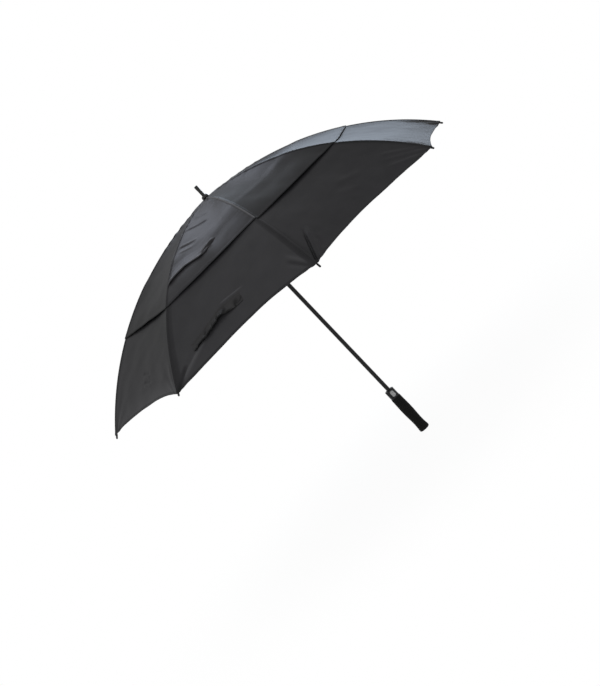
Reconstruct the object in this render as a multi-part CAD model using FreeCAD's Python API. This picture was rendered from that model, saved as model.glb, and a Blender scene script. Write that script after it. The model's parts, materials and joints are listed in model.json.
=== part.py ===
# Golf umbrella with a vented double canopy, open, shaft along +Z, handle at the bottom.
# Units are millimetres and degrees. The origin is the middle of the handle's flat butt end.
#
# Every rib, its stretcher and the shaft make an isosceles linkage: the rib between crown pivot and
# bracket pin is as long as the stretcher, and both end pivots lie at one radius. So the runner
# slides exactly along the shaft while the rib turns by one angle and the stretcher by twice that.
import FreeCAD
import Part
import math
import os

from FreeCAD import Vector

# ---- handle -------------------------------------------------------------------------------------
grip_top_z = 125.0          # top of the foam grip
grip_top_radius = 15.0
grip_shoulder_radius = 15.7
grip_shoulder_z = 98.0
grip_bulge_radius = 16.0
grip_bulge_z = 70.0
grip_waist_radius = 14.5
grip_waist_z = 27.0
grip_end_radius = 16.0
cap_height = 8.0            # end cap that closes the grip
cap_edge_round = 4.0
cap_spigot_length = 14.0
collar_length = 29.0        # rigid housing above the grip
collar_radius = 14.0
collar_bore_radius = 8.8
collar_floor = 2.0
collar_edge_round = 1.5

# ---- shaft and ferrule --------------------------------------------------------------------------
shaft_radius = 6.0
shaft_wall = 1.1
ferrule_collar_radius = 11.0
ferrule_collar_height = 11.0
ferrule_rod_radius = 5.0
ferrule_rod_length = 22.0
ferrule_tip_length = 12.0
ferrule_spigot_length = 16.0

# ---- linkage ------------------------------------------------------------------------------------
rib_count = 8
pivot_radius = 11.0         # of the crown, runner and slider wires about the shaft
link_length = 360.0         # crown pivot to bracket pin, and bracket pin to runner pivot
fold_angle = 62.5           # turn of a rib from open to closed
runner_closed_height = 43.8 # runner pivot above the collar's top, with the umbrella closed
spring_arm_length = 100.0   # runner pivot to arm rivet, and arm rivet to slider pivot

# ---- ribs ---------------------------------------------------------------------------------------
rib_bend_radius = 877.0
rib_start_slope = 2.0       # below level, at the crown pivot
rib_arc_length = 727.0      # crown pivot to the very tip
rib_radius = 1.8
eyelet_sleeve_start = 11.5
eyelet_sleeve_length = 16.0
crimp_wall = 0.9
bracket_length = 12.0
bracket_drop = 5.5          # pin below the middle of the rib
bracket_ear_thickness = 0.8
bracket_ear_width = 5.0
bracket_pin_radius = 0.9
bracket_pin_head_radius = 1.6
bracket_pin_head_height = 0.5
tip_cup_length = 14.0
tip_cup_cover = 8.0         # how far the cup reaches over the rib

# ---- hubs with a wire through their eyelets -----------------------------------------------------
hub_radius = 14.5
hub_core_radius = 8.2
hub_below = 6.5             # hub face below the pivots
hub_above = 2.6             # slot roof above the pivots
hub_roof = 1.3
wire_radius = 0.6
wire_groove_half_height = 0.75
wire_groove_depth_clearance = 0.1
link_tongue_thickness = 2.0
link_eye_radius = 2.2
slot_side_clearance = 0.2
slot_bottom_radius = 8.4

# ---- stretchers and spring arms -----------------------------------------------------------------
channel_half_width = 2.1
channel_wall = 0.6
channel_top = 1.3           # above the line of pivots
channel_arc_centre = 0.4    # below the line of pivots
tongue_half_height = 1.7
tongue_length = 12.0
tongue_taper = 6.0
arm_thickness = 1.6
arm_half_height = 1.2
arm_eye_radius = 1.5
arm_rivet_radius = 0.6
arm_rivet_head_radius = 1.1
arm_rivet_head_height = 0.4

# ---- runner -------------------------------------------------------------------------------------
runner_hub_above = 6.5
runner_barrel_radius = 8.4
runner_neck_radius = 9.0
runner_ring_radius = 11.5
runner_ring_height = 2.5
runner_flare_height = 9.0
runner_entry = 20.0         # how far the barrel enters the collar when closed
runner_ring_gap = 2.0       # between ring and collar when closed
runner_lip = 2.5            # below the catch window

# ---- main spring --------------------------------------------------------------------------------
spring_mean_radius = 7.4
spring_wire_radius = 0.7
spring_turns = 12
spring_stations = 12        # straight lengths in one turn
spring_sides = 6

# ---- catch and button ---------------------------------------------------------------------------
catch_pin_z = 92.0
catch_pin_radius = 0.6
catch_leaf_thickness = 0.8
catch_leaf_depth = 3.0      # middle of the leaf from the shaft's axis
catch_half_width = 1.8
catch_nose_reach = 7.6
catch_nose_height = 4.0
catch_nose_flat = 1.0
catch_slot_half_width = 2.3
button_length = 20.0
button_width = 11.0
button_proud = 1.0
button_dome_radius = 24.0
button_flange_margin = 1.6
button_flange_thickness = 1.0
button_flange_depth = 11.5  # outer face of the flange from the shaft's axis
button_post_radius = 1.6
button_post_inset = 2.0     # middle of the post above the lower end of the button

# ---- canopy -------------------------------------------------------------------------------------
cloth_thickness = 0.6
cloth_over_ribs = 3.0       # inner face of the lower canopy above the middle of the rib
upper_cloth_lift = 0.6      # air between the two canopies where they overlap
seam_clearance = 0.3        # from each gore to the middle of its seam
lower_canopy_start = 305.0  # along the rib, from the crown pivot
upper_canopy_end = 439.0
hem_to_tip = 14.0
lower_scallop = 11.0        # inward curve of the hem between two ribs, in plan
upper_scallop = 4.0
crown_hole_radius = 9.0
strap_root_to_tip = 115.0   # along the rib, from where the closing strap is sewn on
strap_root_offset = 12.0    # from the middle of its gore
strap_end_to_tip = 87.0
strap_end_offset = -150.0
strap_width = 30.0
strap_thickness = 1.0
strap_patch_length = 16.0   # fastening patch on the root end
strap_patch_width = 14.0
strap_patch_thickness = 0.8
strap_gore = 6

# ---- fits ---------------------------------------------------------------------------------------
running_fit = 0.1           # radial, where pieces slide or turn
seat_fit = 0.05             # radial, where pieces are pressed or crimped together
pin_fit = 0.05              # radial, round rivets
soft_gap = 0.3              # from cloth to rigid neighbours

# ---- places worked out from the sizes above -----------------------------------------------------
gore_half_angle = 180.0 / rib_count
strap_root_arc = rib_arc_length - strap_root_to_tip
strap_end_arc = rib_arc_length - strap_end_to_tip
shaft_bore_radius = shaft_radius - shaft_wall
collar_top_z = grip_top_z + collar_length
rib_centre_x = pivot_radius - rib_bend_radius * math.sin(math.radians(rib_start_slope))
rib_outer_sleeve_radius = rib_radius + crimp_wall


def rib_angle(arc_length):
    """Slope of the rib, in degrees below level, at this length along it."""
    return rib_start_slope + math.degrees(arc_length / rib_bend_radius)


def rib_point(slope, lift=0.0):
    """Point in the XZ plane at this slope, lifted off the middle of the rib."""
    reach = rib_bend_radius + lift
    turn = math.radians(slope)
    return Vector(rib_centre_x + reach * math.sin(turn), 0, rib_centre_z + reach * math.cos(turn))


def bracket_slope():
    """Slope of the rib where its bracket pin is one link length from the crown pivot."""
    outer = rib_bend_radius
    inner = rib_bend_radius - bracket_drop
    cosine = (outer ** 2 + inner ** 2 - link_length ** 2) / (2 * outer * inner)
    return rib_start_slope + math.degrees(math.acos(cosine))


pin_slope = bracket_slope()
rib_start_rise = rib_bend_radius * math.cos(math.radians(rib_start_slope))
pin_rise = (rib_bend_radius - bracket_drop) * math.cos(math.radians(pin_slope))
link_rise = rib_start_rise - pin_rise
link_slope = math.degrees(math.asin(link_rise / link_length))
closed_rise = link_length * math.sin(math.radians(link_slope + fold_angle))
runner_closed_z = collar_top_z + runner_closed_height
crown_pivot_z = runner_closed_z + 2 * closed_rise
rib_centre_z = crown_pivot_z - rib_start_rise
pin_point = rib_point(pin_slope, -bracket_drop)
canopy_top_z = crown_pivot_z + cloth_over_ribs + cloth_thickness + upper_cloth_lift
crown_top_z = canopy_top_z - soft_gap
ferrule_seat_z = canopy_top_z + cloth_thickness + soft_gap
runner_pivot_z = crown_pivot_z - 2 * link_rise
arm_rise = spring_arm_length * math.sin(math.radians(link_slope))
slider_pivot_z = runner_pivot_z + 2 * arm_rise
button_z = collar_top_z - collar_length / 2
post_z = button_z - button_length / 2 + button_post_inset
barrel_end_z = collar_top_z - runner_entry
nose_z = barrel_end_z + runner_lip + 0.5
catch_bump_reach = shaft_radius + 0.4
catch_top_z = nose_z + catch_nose_height + 2.0


# ---- helpers ------------------------------------------------------------------------------------
def cylinder(radius, bottom, top):
    return Part.makeCylinder(radius, top - bottom, Vector(0, 0, bottom))


def cross_cylinder(radius, x, z, half_width):
    """Cylinder along Y, centred on the XZ plane."""
    return Part.makeCylinder(radius, 2 * half_width, Vector(x, -half_width, z), Vector(0, 1, 0))


def block(x0, x1, y0, y1, z0, z1):
    return Part.makeBox(x1 - x0, y1 - y0, z1 - z0, Vector(x0, y0, z0))


def spun(points):
    """Revolve a closed outline of (radius, z) points about Z."""
    corners = [Vector(r, 0, z) for r, z in points]
    face = Part.Face(Part.makePolygon(corners + corners[:1]))
    return face.revolve(Vector(0, 0, 0), Vector(0, 0, 1), 360)


def turned(shape, azimuth):
    """Copy of a shape turned about the shaft."""
    copy = shape.copy()
    copy.rotate(Vector(0, 0, 0), Vector(0, 0, 1), azimuth)
    return copy


def patterned(shape, count=rib_count):
    return [turned(shape, 360.0 * index / count) for index in range(count)]


def tilted(shape, slope, place):
    """Copy of a shape made along +X, tilted below level by the slope and moved to its place."""
    copy = shape.copy()
    copy.rotate(Vector(0, 0, 0), Vector(0, 1, 0), slope)
    copy.translate(place)
    return copy


def rib_tube(outer_radius, start_slope, end_slope, bore_radius=0.0):
    """Round bar or tube bent along the rib's arc in the XZ plane."""
    tangent = Vector(math.cos(math.radians(start_slope)), 0, -math.sin(math.radians(start_slope)))
    section = Part.Face(Part.Wire(Part.makeCircle(outer_radius, rib_point(start_slope), tangent)))
    if bore_radius:
        hole = Part.Face(Part.Wire(Part.makeCircle(bore_radius, rib_point(start_slope), tangent)))
        section = section.cut(hole)
    centre = Vector(rib_centre_x, 0, rib_centre_z)
    return section.revolve(centre, Vector(0, 1, 0), end_slope - start_slope)


def compound(shapes):
    return Part.makeCompound(shapes)


def export(name, shape):
    if not shape.isValid():
        print("not valid:", name)
    shape.exportStep("parts/" + name + ".step")
    print(name, len(shape.Solids), "solids", len(shape.Faces), "faces", round(shape.Volume, 1), "mm3")


# ---- handle -------------------------------------------------------------------------------------
def make_grip():
    """Foam grip: a swelling turned from a smooth side line, bored for the shaft."""
    bore = shaft_radius + seat_fit
    side = Part.BSplineCurve()
    side.interpolate([
        Vector(grip_end_radius, 0, cap_height),
        Vector(grip_waist_radius, 0, grip_waist_z),
        Vector(grip_bulge_radius, 0, grip_bulge_z),
        Vector(grip_shoulder_radius, 0, grip_shoulder_z),
        Vector(grip_top_radius, 0, grip_top_z),
    ])
    corners = [
        Vector(grip_top_radius, 0, grip_top_z),
        Vector(bore, 0, grip_top_z),
        Vector(bore, 0, cap_height),
        Vector(grip_end_radius, 0, cap_height),
    ]
    rest = Part.makePolygon(corners)
    outline = Part.Wire([side.toShape()] + rest.Edges)
    return Part.Face(outline).revolve(Vector(0, 0, 0), Vector(0, 0, 1), 360)


def make_end_cap():
    """Butt cap with a rounded edge and a spigot that plugs the shaft."""
    disc = cylinder(grip_end_radius, 0, cap_height)
    rim = [edge for edge in disc.Edges if abs(edge.BoundBox.ZMax) < 0.01 and edge.Length > 10]
    disc = disc.makeFillet(cap_edge_round, rim)
    spigot = cylinder(shaft_bore_radius - seat_fit, cap_height, cap_height + cap_spigot_length)
    return disc.fuse(spigot)


def rounded_slab(length, width, near, far):
    """Prism along -Y with round ends, standing along Z about the button's height."""
    radius = width / 2
    straight = length / 2 - radius
    low = Vector(-radius, 0, button_z - straight)
    high = Vector(-radius, 0, button_z + straight)
    low_far = Vector(radius, 0, button_z - straight)
    high_far = Vector(radius, 0, button_z + straight)
    top = Vector(0, 0, button_z + straight + radius)
    bottom = Vector(0, 0, button_z - straight - radius)
    edges = [
        Part.LineSegment(low, high).toShape(),
        Part.Arc(high, top, high_far).toShape(),
        Part.LineSegment(high_far, low_far).toShape(),
        Part.Arc(low_far, bottom, low).toShape(),
    ]
    slab = Part.Face(Part.Wire(edges)).extrude(Vector(0, -(far - near), 0))
    slab.translate(Vector(0, -near, 0))
    return slab


def make_collar():
    """Handle housing: bored for the runner's barrel, floored round the shaft, with the button window."""
    body = cylinder(collar_radius, grip_top_z, collar_top_z)
    rim = [edge for edge in body.Edges if abs(edge.BoundBox.ZMin - collar_top_z) < 0.01]
    body = body.makeFillet(collar_edge_round, rim)
    body = body.cut(cylinder(collar_bore_radius, grip_top_z + collar_floor, collar_top_z + 1))
    body = body.cut(cylinder(shaft_radius + seat_fit, grip_top_z - 1, collar_top_z))
    window_length = button_length + 2 * running_fit
    window_width = button_width + 2 * running_fit
    pocket_extra = 2 * button_flange_margin
    body = body.cut(rounded_slab(window_length, window_width, 0, collar_radius + 1))
    pocket = rounded_slab(window_length + pocket_extra, window_width + pocket_extra,
                          0, button_flange_depth + running_fit)
    return body.cut(pocket)


def make_button():
    """Push button: domed pad, retaining flange behind the window, and a post to the catch."""
    pad = rounded_slab(button_length, button_width, button_flange_depth - 0.5,
                       collar_radius + button_proud)
    dome = Part.makeSphere(button_dome_radius,
                           Vector(0, button_dome_radius - collar_radius - button_proud, button_z))
    pad = pad.common(dome)
    extra = 2 * button_flange_margin - 2 * running_fit
    flange = rounded_slab(button_length + extra, button_width + extra,
                          button_flange_depth - button_flange_thickness, button_flange_depth)
    post_end = catch_bump_reach + running_fit
    post = Part.makeCylinder(button_post_radius, button_flange_depth - post_end,
                             Vector(0, -button_flange_depth, post_z), Vector(0, 1, 0))
    return pad.fuse([flange, post]).removeSplitter()


def make_catch():
    """Leaf catch inside the shaft: rolled eye at the pin, bump under the post, hooked nose above."""
    leaf_near = catch_leaf_depth - catch_leaf_thickness / 2
    leaf_far = catch_leaf_depth + catch_leaf_thickness / 2
    bump_base = post_z - button_post_radius - 1.0
    bump_top = post_z + button_post_radius + 0.6
    outline = [
        (leaf_near, catch_pin_z),
        (leaf_far, catch_pin_z),
        (leaf_far, bump_base - 1.5),
        (catch_bump_reach, bump_base),
        (catch_bump_reach, bump_top),
        (leaf_far, bump_top + 1.0),
        (leaf_far, nose_z),
        (catch_nose_reach, nose_z),
        (catch_nose_reach, nose_z + catch_nose_flat),
        (leaf_far, nose_z + catch_nose_height),
        (leaf_far, catch_top_z),
        (leaf_near, catch_top_z),
    ]
    corners = [Vector(-catch_half_width, -depth, z) for depth, z in outline]
    leaf = Part.Face(Part.makePolygon(corners + corners[:1])).extrude(Vector(2 * catch_half_width, 0, 0))
    eye = Part.makeCylinder(catch_pin_radius + catch_leaf_thickness, 2 * catch_half_width,
                            Vector(-catch_half_width, -catch_leaf_depth, catch_pin_z), Vector(1, 0, 0))
    hole = Part.makeCylinder(catch_pin_radius + pin_fit, 4 * catch_half_width,
                             Vector(-2 * catch_half_width, -catch_leaf_depth, catch_pin_z),
                             Vector(1, 0, 0))
    return leaf.fuse(eye).cut(hole).removeSplitter()


def catch_pin_half_length():
    """Half chord of the shaft at the pin, kept just under its outer skin."""
    return math.sqrt(shaft_radius ** 2 - (catch_leaf_depth + catch_pin_radius) ** 2) - seat_fit


def make_catch_pin():
    half = catch_pin_half_length()
    return Part.makeCylinder(catch_pin_radius, 2 * half,
                             Vector(-half, -catch_leaf_depth, catch_pin_z), Vector(1, 0, 0))


# ---- shaft and ferrule --------------------------------------------------------------------------
def make_shaft():
    """Tube from the end cap to the crown, slotted for the catch and drilled for its pin."""
    tube = cylinder(shaft_radius, cap_height, crown_top_z)
    tube = tube.cut(cylinder(shaft_bore_radius, cap_height - 1, crown_top_z + 1))
    slot = block(-catch_slot_half_width, catch_slot_half_width, -shaft_radius - 1, 0,
                 post_z - button_post_radius - 4.0, catch_top_z + 1.0)
    hole = Part.makeCylinder(catch_pin_radius + pin_fit, 4 * shaft_radius,
                             Vector(-2 * shaft_radius, -catch_leaf_depth, catch_pin_z),
                             Vector(1, 0, 0))
    return tube.cut(slot).cut(hole)


def make_ferrule():
    """Moulded top piece: spigot in the shaft, rounded collar over the cloth, round rod."""
    collar_top = ferrule_seat_z + ferrule_collar_height
    rod_top = collar_top + ferrule_rod_length
    mid_z = ferrule_seat_z + ferrule_collar_height * 0.42
    bulge = Part.Arc(Vector(ferrule_collar_radius - 1.6, 0, ferrule_seat_z),
                     Vector(ferrule_collar_radius, 0, mid_z),
                     Vector(ferrule_rod_radius + 0.9, 0, collar_top)).toShape()
    spigot_radius = shaft_bore_radius - seat_fit
    spigot_z = crown_top_z - ferrule_spigot_length
    corners = [
        Vector(ferrule_rod_radius + 0.9, 0, collar_top),
        Vector(ferrule_rod_radius, 0, collar_top + 0.9),
        Vector(ferrule_rod_radius, 0, rod_top),
        Vector(0, 0, rod_top),
        Vector(0, 0, spigot_z),
        Vector(spigot_radius, 0, spigot_z),
        Vector(spigot_radius, 0, ferrule_seat_z),
        Vector(ferrule_collar_radius - 1.6, 0, ferrule_seat_z),
    ]
    outline = Part.Wire([bulge] + Part.makePolygon(corners).Edges)
    return Part.Face(outline).revolve(Vector(0, 0, 0), Vector(0, 0, 1), 360)


def make_ferrule_tip():
    """Cap on the end of the ferrule rod, slightly proud of it, with a rounded end."""
    base = ferrule_seat_z + ferrule_collar_height + ferrule_rod_length
    radius = ferrule_rod_radius + 0.3
    tip = cylinder(radius, base, base + ferrule_tip_length)
    rim = [edge for edge in tip.Edges if abs(edge.BoundBox.ZMin - base - ferrule_tip_length) < 0.01]
    return tip.makeFillet(1.5, rim)


# ---- hubs ---------------------------------------------------------------------------------------
def hub_wire(pivot_z):
    """Ring of wire through the eyelets of one hub."""
    return Part.makeTorus(pivot_radius, wire_radius, Vector(0, 0, pivot_z), Vector(0, 0, 1))


def wire_groove(pivot_z):
    """Groove round a hub that holds the wire; it is open outwards."""
    inner = pivot_radius - wire_radius - wire_groove_depth_clearance
    ring = cylinder(hub_radius + 2, pivot_z - wire_groove_half_height, pivot_z + wire_groove_half_height)
    return ring.cut(cylinder(inner, pivot_z - 2, pivot_z + 2))


def hub_slots(pivot_z, below, above, thickness):
    """One cutter per rib for the radial slots, between these depths below and above the pivots."""
    half = thickness / 2 + slot_side_clearance
    slot = block(slot_bottom_radius, hub_radius + 3, -half, half, pivot_z - below, pivot_z + above)
    return patterned(slot)


def make_crown():
    """Fixed notched hub: slots open downwards, closed by a roof that stops the ribs when open."""
    slot_top = crown_pivot_z + hub_above
    outline = [
        (shaft_radius + seat_fit, crown_pivot_z - hub_below),
        (hub_radius - 1, crown_pivot_z - hub_below),
        (hub_radius, crown_pivot_z - hub_below + 1),
        (hub_radius, slot_top),
        (hub_radius - 2.5, crown_top_z),
        (shaft_radius + seat_fit, crown_top_z),
    ]
    hub = spun(outline)
    hub = hub.cut(hub_slots(crown_pivot_z, hub_below + 1, hub_above, link_tongue_thickness))
    return hub.cut(wire_groove(crown_pivot_z))


def make_slider():
    """Notched ring of the opening spring; it slides on the shaft above the runner."""
    slot_top = slider_pivot_z + hub_above
    outline = [
        (shaft_radius + running_fit, slider_pivot_z - hub_below),
        (hub_radius - 1.5, slider_pivot_z - hub_below),
        (hub_radius - 0.5, slider_pivot_z - hub_below + 1),
        (hub_radius - 0.5, slot_top),
        (hub_radius - 2.5, slot_top + hub_roof),
        (hub_core_radius + 1, slot_top + hub_roof + 3),
        (shaft_radius + running_fit, slot_top + hub_roof + 3),
    ]
    hub = spun(outline)
    hub = hub.cut(hub_slots(slider_pivot_z, hub_below + 1, hub_above, arm_thickness))
    return hub.cut(wire_groove(slider_pivot_z))


def make_runner():
    """Sliding runner: notched head, flared neck, finger ring, and a barrel with the catch window."""
    lift = runner_pivot_z - runner_closed_z
    barrel_end = barrel_end_z + lift
    ring_bottom = collar_top_z + runner_ring_gap + lift
    ring_top = ring_bottom + runner_ring_height
    head_bottom = runner_pivot_z - hub_below
    head_top = runner_pivot_z + runner_hub_above
    bore = shaft_radius + running_fit
    outline = [
        (bore, barrel_end),
        (runner_barrel_radius - 0.5, barrel_end),
        (runner_barrel_radius, barrel_end + 0.5),
        (runner_barrel_radius, ring_bottom - 1),
        (runner_ring_radius - 1, ring_bottom),
        (runner_ring_radius, ring_bottom + 0.5),
        (runner_ring_radius, ring_top - 0.5),
        (runner_neck_radius, ring_top + 1.5),
        (runner_neck_radius, head_bottom - runner_flare_height),
        (hub_radius - 1, head_bottom),
        (hub_radius, head_bottom + 1),
        (hub_radius, head_top - 1),
        (hub_radius - 1, head_top),
        (bore, head_top),
    ]
    body = spun(outline)
    slot_floor = link_eye_radius + 0.5
    body = body.cut(hub_slots(runner_pivot_z, slot_floor, runner_hub_above + 1, link_tongue_thickness))
    body = body.cut(wire_groove(runner_pivot_z))
    window_half = catch_half_width + 1.0
    window = block(-window_half, window_half, -runner_barrel_radius - 1, 0,
                   nose_z - 0.5 + lift, nose_z + catch_nose_height + 1.5 + lift)
    return body.cut(window)


# ---- rib and its fittings -----------------------------------------------------------------------
def make_rib():
    """Glass-fibre rod from inside the crown eyelet's sleeve to inside the tip cup."""
    start = rib_angle(eyelet_sleeve_start + 1.5)
    end = rib_angle(rib_arc_length - tip_cup_length + tip_cup_cover)
    return rib_tube(rib_radius, start, end)


def make_eyelet():
    """Steel end of the rib: flat eye on the crown wire and a sleeve crimped on the rod."""
    half = link_tongue_thickness / 2
    eye = cross_cylinder(link_eye_radius, 0, 0, half)
    neck = block(0, eyelet_sleeve_start + 1.0, -half, half, -tongue_half_height, tongue_half_height)
    tongue = tilted(eye.fuse(neck), rib_start_slope, rib_point(rib_start_slope))
    end_slope = rib_angle(eyelet_sleeve_start)
    plug_slope = rib_angle(eyelet_sleeve_start + 1.5 - seat_fit)
    far_slope = rib_angle(eyelet_sleeve_start + eyelet_sleeve_length)
    plug = rib_tube(rib_outer_sleeve_radius, end_slope, plug_slope)
    sleeve = rib_tube(rib_outer_sleeve_radius, plug_slope, far_slope, rib_radius + seat_fit)
    hole = tilted(cross_cylinder(wire_radius + running_fit, 0, 0, 2), 0, rib_point(rib_start_slope))
    return tongue.fuse([plug, sleeve]).cut(hole).removeSplitter()


def make_bracket():
    """Sleeve crimped round the rib, with two ears for the stretcher's pin."""
    half_arc = math.degrees(bracket_length / 2 / rib_bend_radius)
    sleeve = rib_tube(rib_outer_sleeve_radius, pin_slope - half_arc, pin_slope + half_arc)
    inner = link_tongue_thickness / 2 + slot_side_clearance / 2
    outer = inner + bracket_ear_thickness
    half_width = bracket_ear_width / 2
    ears = []
    for side in (-1, 1):
        low, high = sorted((side * inner, side * outer))
        plate = block(-half_width, half_width, low, high, -bracket_drop, 0)
        end = Part.makeCylinder(half_width, high - low, Vector(0, low, -bracket_drop), Vector(0, 1, 0))
        ears.append(tilted(plate.fuse(end), pin_slope, rib_point(pin_slope)))
    body = sleeve.fuse(ears)
    bore = rib_tube(rib_radius + seat_fit, pin_slope - 2 * half_arc, pin_slope + 2 * half_arc)
    hole = cross_cylinder(bracket_pin_radius + pin_fit, pin_point.x, pin_point.z, 2 * outer)
    return body.cut(bore).cut(hole).removeSplitter()


def make_bracket_pin():
    """Rivet through the ears, headed on both sides."""
    outer = link_tongue_thickness / 2 + slot_side_clearance / 2 + bracket_ear_thickness
    pin = cross_cylinder(bracket_pin_radius, pin_point.x, pin_point.z, outer)
    heads = []
    for start in (-outer - bracket_pin_head_height, outer):
        head = Part.makeCylinder(bracket_pin_head_radius, bracket_pin_head_height,
                                 Vector(pin_point.x, start, pin_point.z), Vector(0, 1, 0))
        heads.append(head)
    return pin.fuse(heads)


def make_tip_cup():
    """Moulded cup pushed over the rib's end, with a round nose."""
    start = rib_angle(rib_arc_length - tip_cup_length)
    rod_end = rib_angle(rib_arc_length - tip_cup_length + tip_cup_cover + seat_fit)
    nose = rib_angle(rib_arc_length - rib_outer_sleeve_radius)
    sleeve = rib_tube(rib_outer_sleeve_radius, start, rod_end, rib_radius + seat_fit)
    solid_end = rib_tube(rib_outer_sleeve_radius, rod_end, nose)
    ball = Part.makeSphere(rib_outer_sleeve_radius, rib_point(nose))
    return sleeve.fuse([solid_end, ball]).removeSplitter()


def make_fittings():
    return compound([make_eyelet(), make_bracket(), make_bracket_pin(), make_tip_cup()])


# ---- stretcher and arm --------------------------------------------------------------------------
def channel_section(x, half_width, top):
    """U-shaped face across the stretcher at this length: round underneath, straight sides."""
    low = -channel_arc_centre
    left = Vector(x, -half_width, low)
    right = Vector(x, half_width, low)
    edges = [
        Part.LineSegment(Vector(x, -half_width, top), left).toShape(),
        Part.Arc(left, Vector(x, 0, low - half_width), right).toShape(),
        Part.LineSegment(right, Vector(x, half_width, top)).toShape(),
        Part.LineSegment(Vector(x, half_width, top), Vector(x, -half_width, top)).toShape(),
    ]
    return Part.Wire(edges)


def tongue_section(x):
    """Flattened end's outline at this length, with as many edges as the channel's."""
    half = link_tongue_thickness / 2
    low = -tongue_half_height
    edges = [
        Part.LineSegment(Vector(x, -half, tongue_half_height), Vector(x, -half, low)).toShape(),
        Part.LineSegment(Vector(x, -half, low), Vector(x, half, low)).toShape(),
        Part.LineSegment(Vector(x, half, low), Vector(x, half, tongue_half_height)).toShape(),
        Part.LineSegment(Vector(x, half, tongue_half_height),
                         Vector(x, -half, tongue_half_height)).toShape(),
    ]
    return Part.Wire(edges)


def make_stretcher_bar():
    """Pressed channel with flattened eyes at both ends, made along +X from the runner pivot."""
    near = tongue_length + tongue_taper
    far = link_length - near
    outer = Part.Face(channel_section(near, channel_half_width, channel_top))
    bar = outer.extrude(Vector(far - near, 0, 0))
    inner = Part.Face(channel_section(near + 2, channel_half_width - channel_wall, channel_top + 1))
    bar = bar.cut(inner.extrude(Vector(far - near - 4, 0, 0)))
    half = link_tongue_thickness / 2
    pieces = []
    for centre, sign in ((0.0, 1), (link_length, -1)):
        begin = centre + sign * tongue_length
        end = centre + sign * near
        taper = Part.makeLoft([tongue_section(begin),
                               channel_section(end, channel_half_width, channel_top)], True, True)
        neck = block(min(centre, begin), max(centre, begin), -half, half,
                     -tongue_half_height, tongue_half_height)
        eye = cross_cylinder(link_eye_radius, centre, 0, half)
        pieces += [taper, neck, eye]
    bar = bar.fuse(pieces)
    bar = bar.cut(cross_cylinder(wire_radius + running_fit, 0, 0, 2))
    bar = bar.cut(cross_cylinder(bracket_pin_radius + pin_fit, link_length, 0, 2))
    bar = bar.cut(cross_cylinder(arm_rivet_radius + pin_fit, spring_arm_length, 0, 4))
    return bar.removeSplitter()


def make_arm_rivet():
    """Rivet across the channel that carries the spring arm."""
    rivet = cross_cylinder(arm_rivet_radius, spring_arm_length, 0, channel_half_width)
    heads = []
    for start in (-channel_half_width - arm_rivet_head_height, channel_half_width):
        head = Part.makeCylinder(arm_rivet_head_radius, arm_rivet_head_height,
                                 Vector(spring_arm_length, start, 0), Vector(0, 1, 0))
        heads.append(head)
    return rivet.fuse(heads)


def make_stretcher():
    """Stretcher with its rivet, rising from the runner pivot to the bracket pin."""
    place = Vector(pivot_radius, 0, runner_pivot_z)
    return compound([tilted(make_stretcher_bar(), -link_slope, place),
                     tilted(make_arm_rivet(), -link_slope, place)])


def make_arm():
    """Flat spring arm, falling from the slider pivot to the rivet in the stretcher."""
    half = arm_thickness / 2
    bar = block(0, spring_arm_length, -half, half, -arm_half_height, arm_half_height)
    big_eye = cross_cylinder(link_eye_radius, 0, 0, half)
    small_eye = cross_cylinder(arm_eye_radius, spring_arm_length, 0, half)
    bar = bar.fuse([big_eye, small_eye])
    bar = bar.cut(cross_cylinder(wire_radius + running_fit, 0, 0, 2))
    bar = bar.cut(cross_cylinder(arm_rivet_radius + pin_fit, spring_arm_length, 0, 2))
    return tilted(bar.removeSplitter(), link_slope, Vector(pivot_radius, 0, slider_pivot_z))


# ---- main spring --------------------------------------------------------------------------------
def make_main_spring():
    """Coil between runner and slider, in straight lengths of six-sided wire."""
    bottom = runner_pivot_z + runner_hub_above + spring_wire_radius + soft_gap
    top = slider_pivot_z - hub_below - spring_wire_radius - soft_gap
    count = spring_turns * spring_stations
    rings = []
    for index in range(count + 1):
        angle = 2 * math.pi * index / spring_stations
        z = bottom + (top - bottom) * index / count
        ring = []
        for side in range(spring_sides):
            swing = 2 * math.pi * side / spring_sides
            radius = spring_mean_radius + spring_wire_radius * math.cos(swing)
            ring.append(Vector(radius * math.cos(angle), radius * math.sin(angle),
                               z + spring_wire_radius * math.sin(swing)))
        rings.append(ring)
    faces = []
    for lower, upper in zip(rings, rings[1:]):
        for side in range(spring_sides):
            after = (side + 1) % spring_sides
            faces.append(triangle(lower[side], lower[after], upper[after]))
            faces.append(triangle(lower[side], upper[after], upper[side]))
    faces.append(Part.Face(Part.makePolygon(rings[0] + rings[0][:1])))
    faces.append(Part.Face(Part.makePolygon(rings[-1] + rings[-1][:1])))
    return Part.Solid(Part.Shell(faces))


def triangle(a, b, c):
    return Part.Face(Part.makePolygon([a, b, c, a]))


# ---- canopy -------------------------------------------------------------------------------------
def gore_arc(lift, start_slope, end_slope):
    """Line of the cloth in the middle plane of a gore: the rib's arc seen square to the gore."""
    squeeze = math.cos(math.radians(gore_half_angle))
    reach = rib_bend_radius + lift
    centre = Vector(rib_centre_x * squeeze, 0, rib_centre_z)
    ellipse = Part.Ellipse(centre + Vector(0, 0, reach), centre + Vector(reach * squeeze, 0, 0), centre)
    start = math.radians(start_slope)
    end = math.radians(end_slope)
    points = []
    for turn in (start, end):
        points.append(centre + Vector(reach * squeeze * math.sin(turn), 0, reach * math.cos(turn)))
    middle = (start + end) / 2
    probe = centre + Vector(reach * squeeze * math.sin(middle), 0, reach * math.cos(middle))
    first = ellipse.parameter(points[0])
    last = ellipse.parameter(points[1])
    if first > last:
        first, last = last, first
    arc = Part.ArcOfEllipse(ellipse, first, last).toShape()
    if arc.distToShape(Part.Vertex(probe))[0] > 0.01:
        print("gore arc runs the wrong way")
    return arc, points


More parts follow.
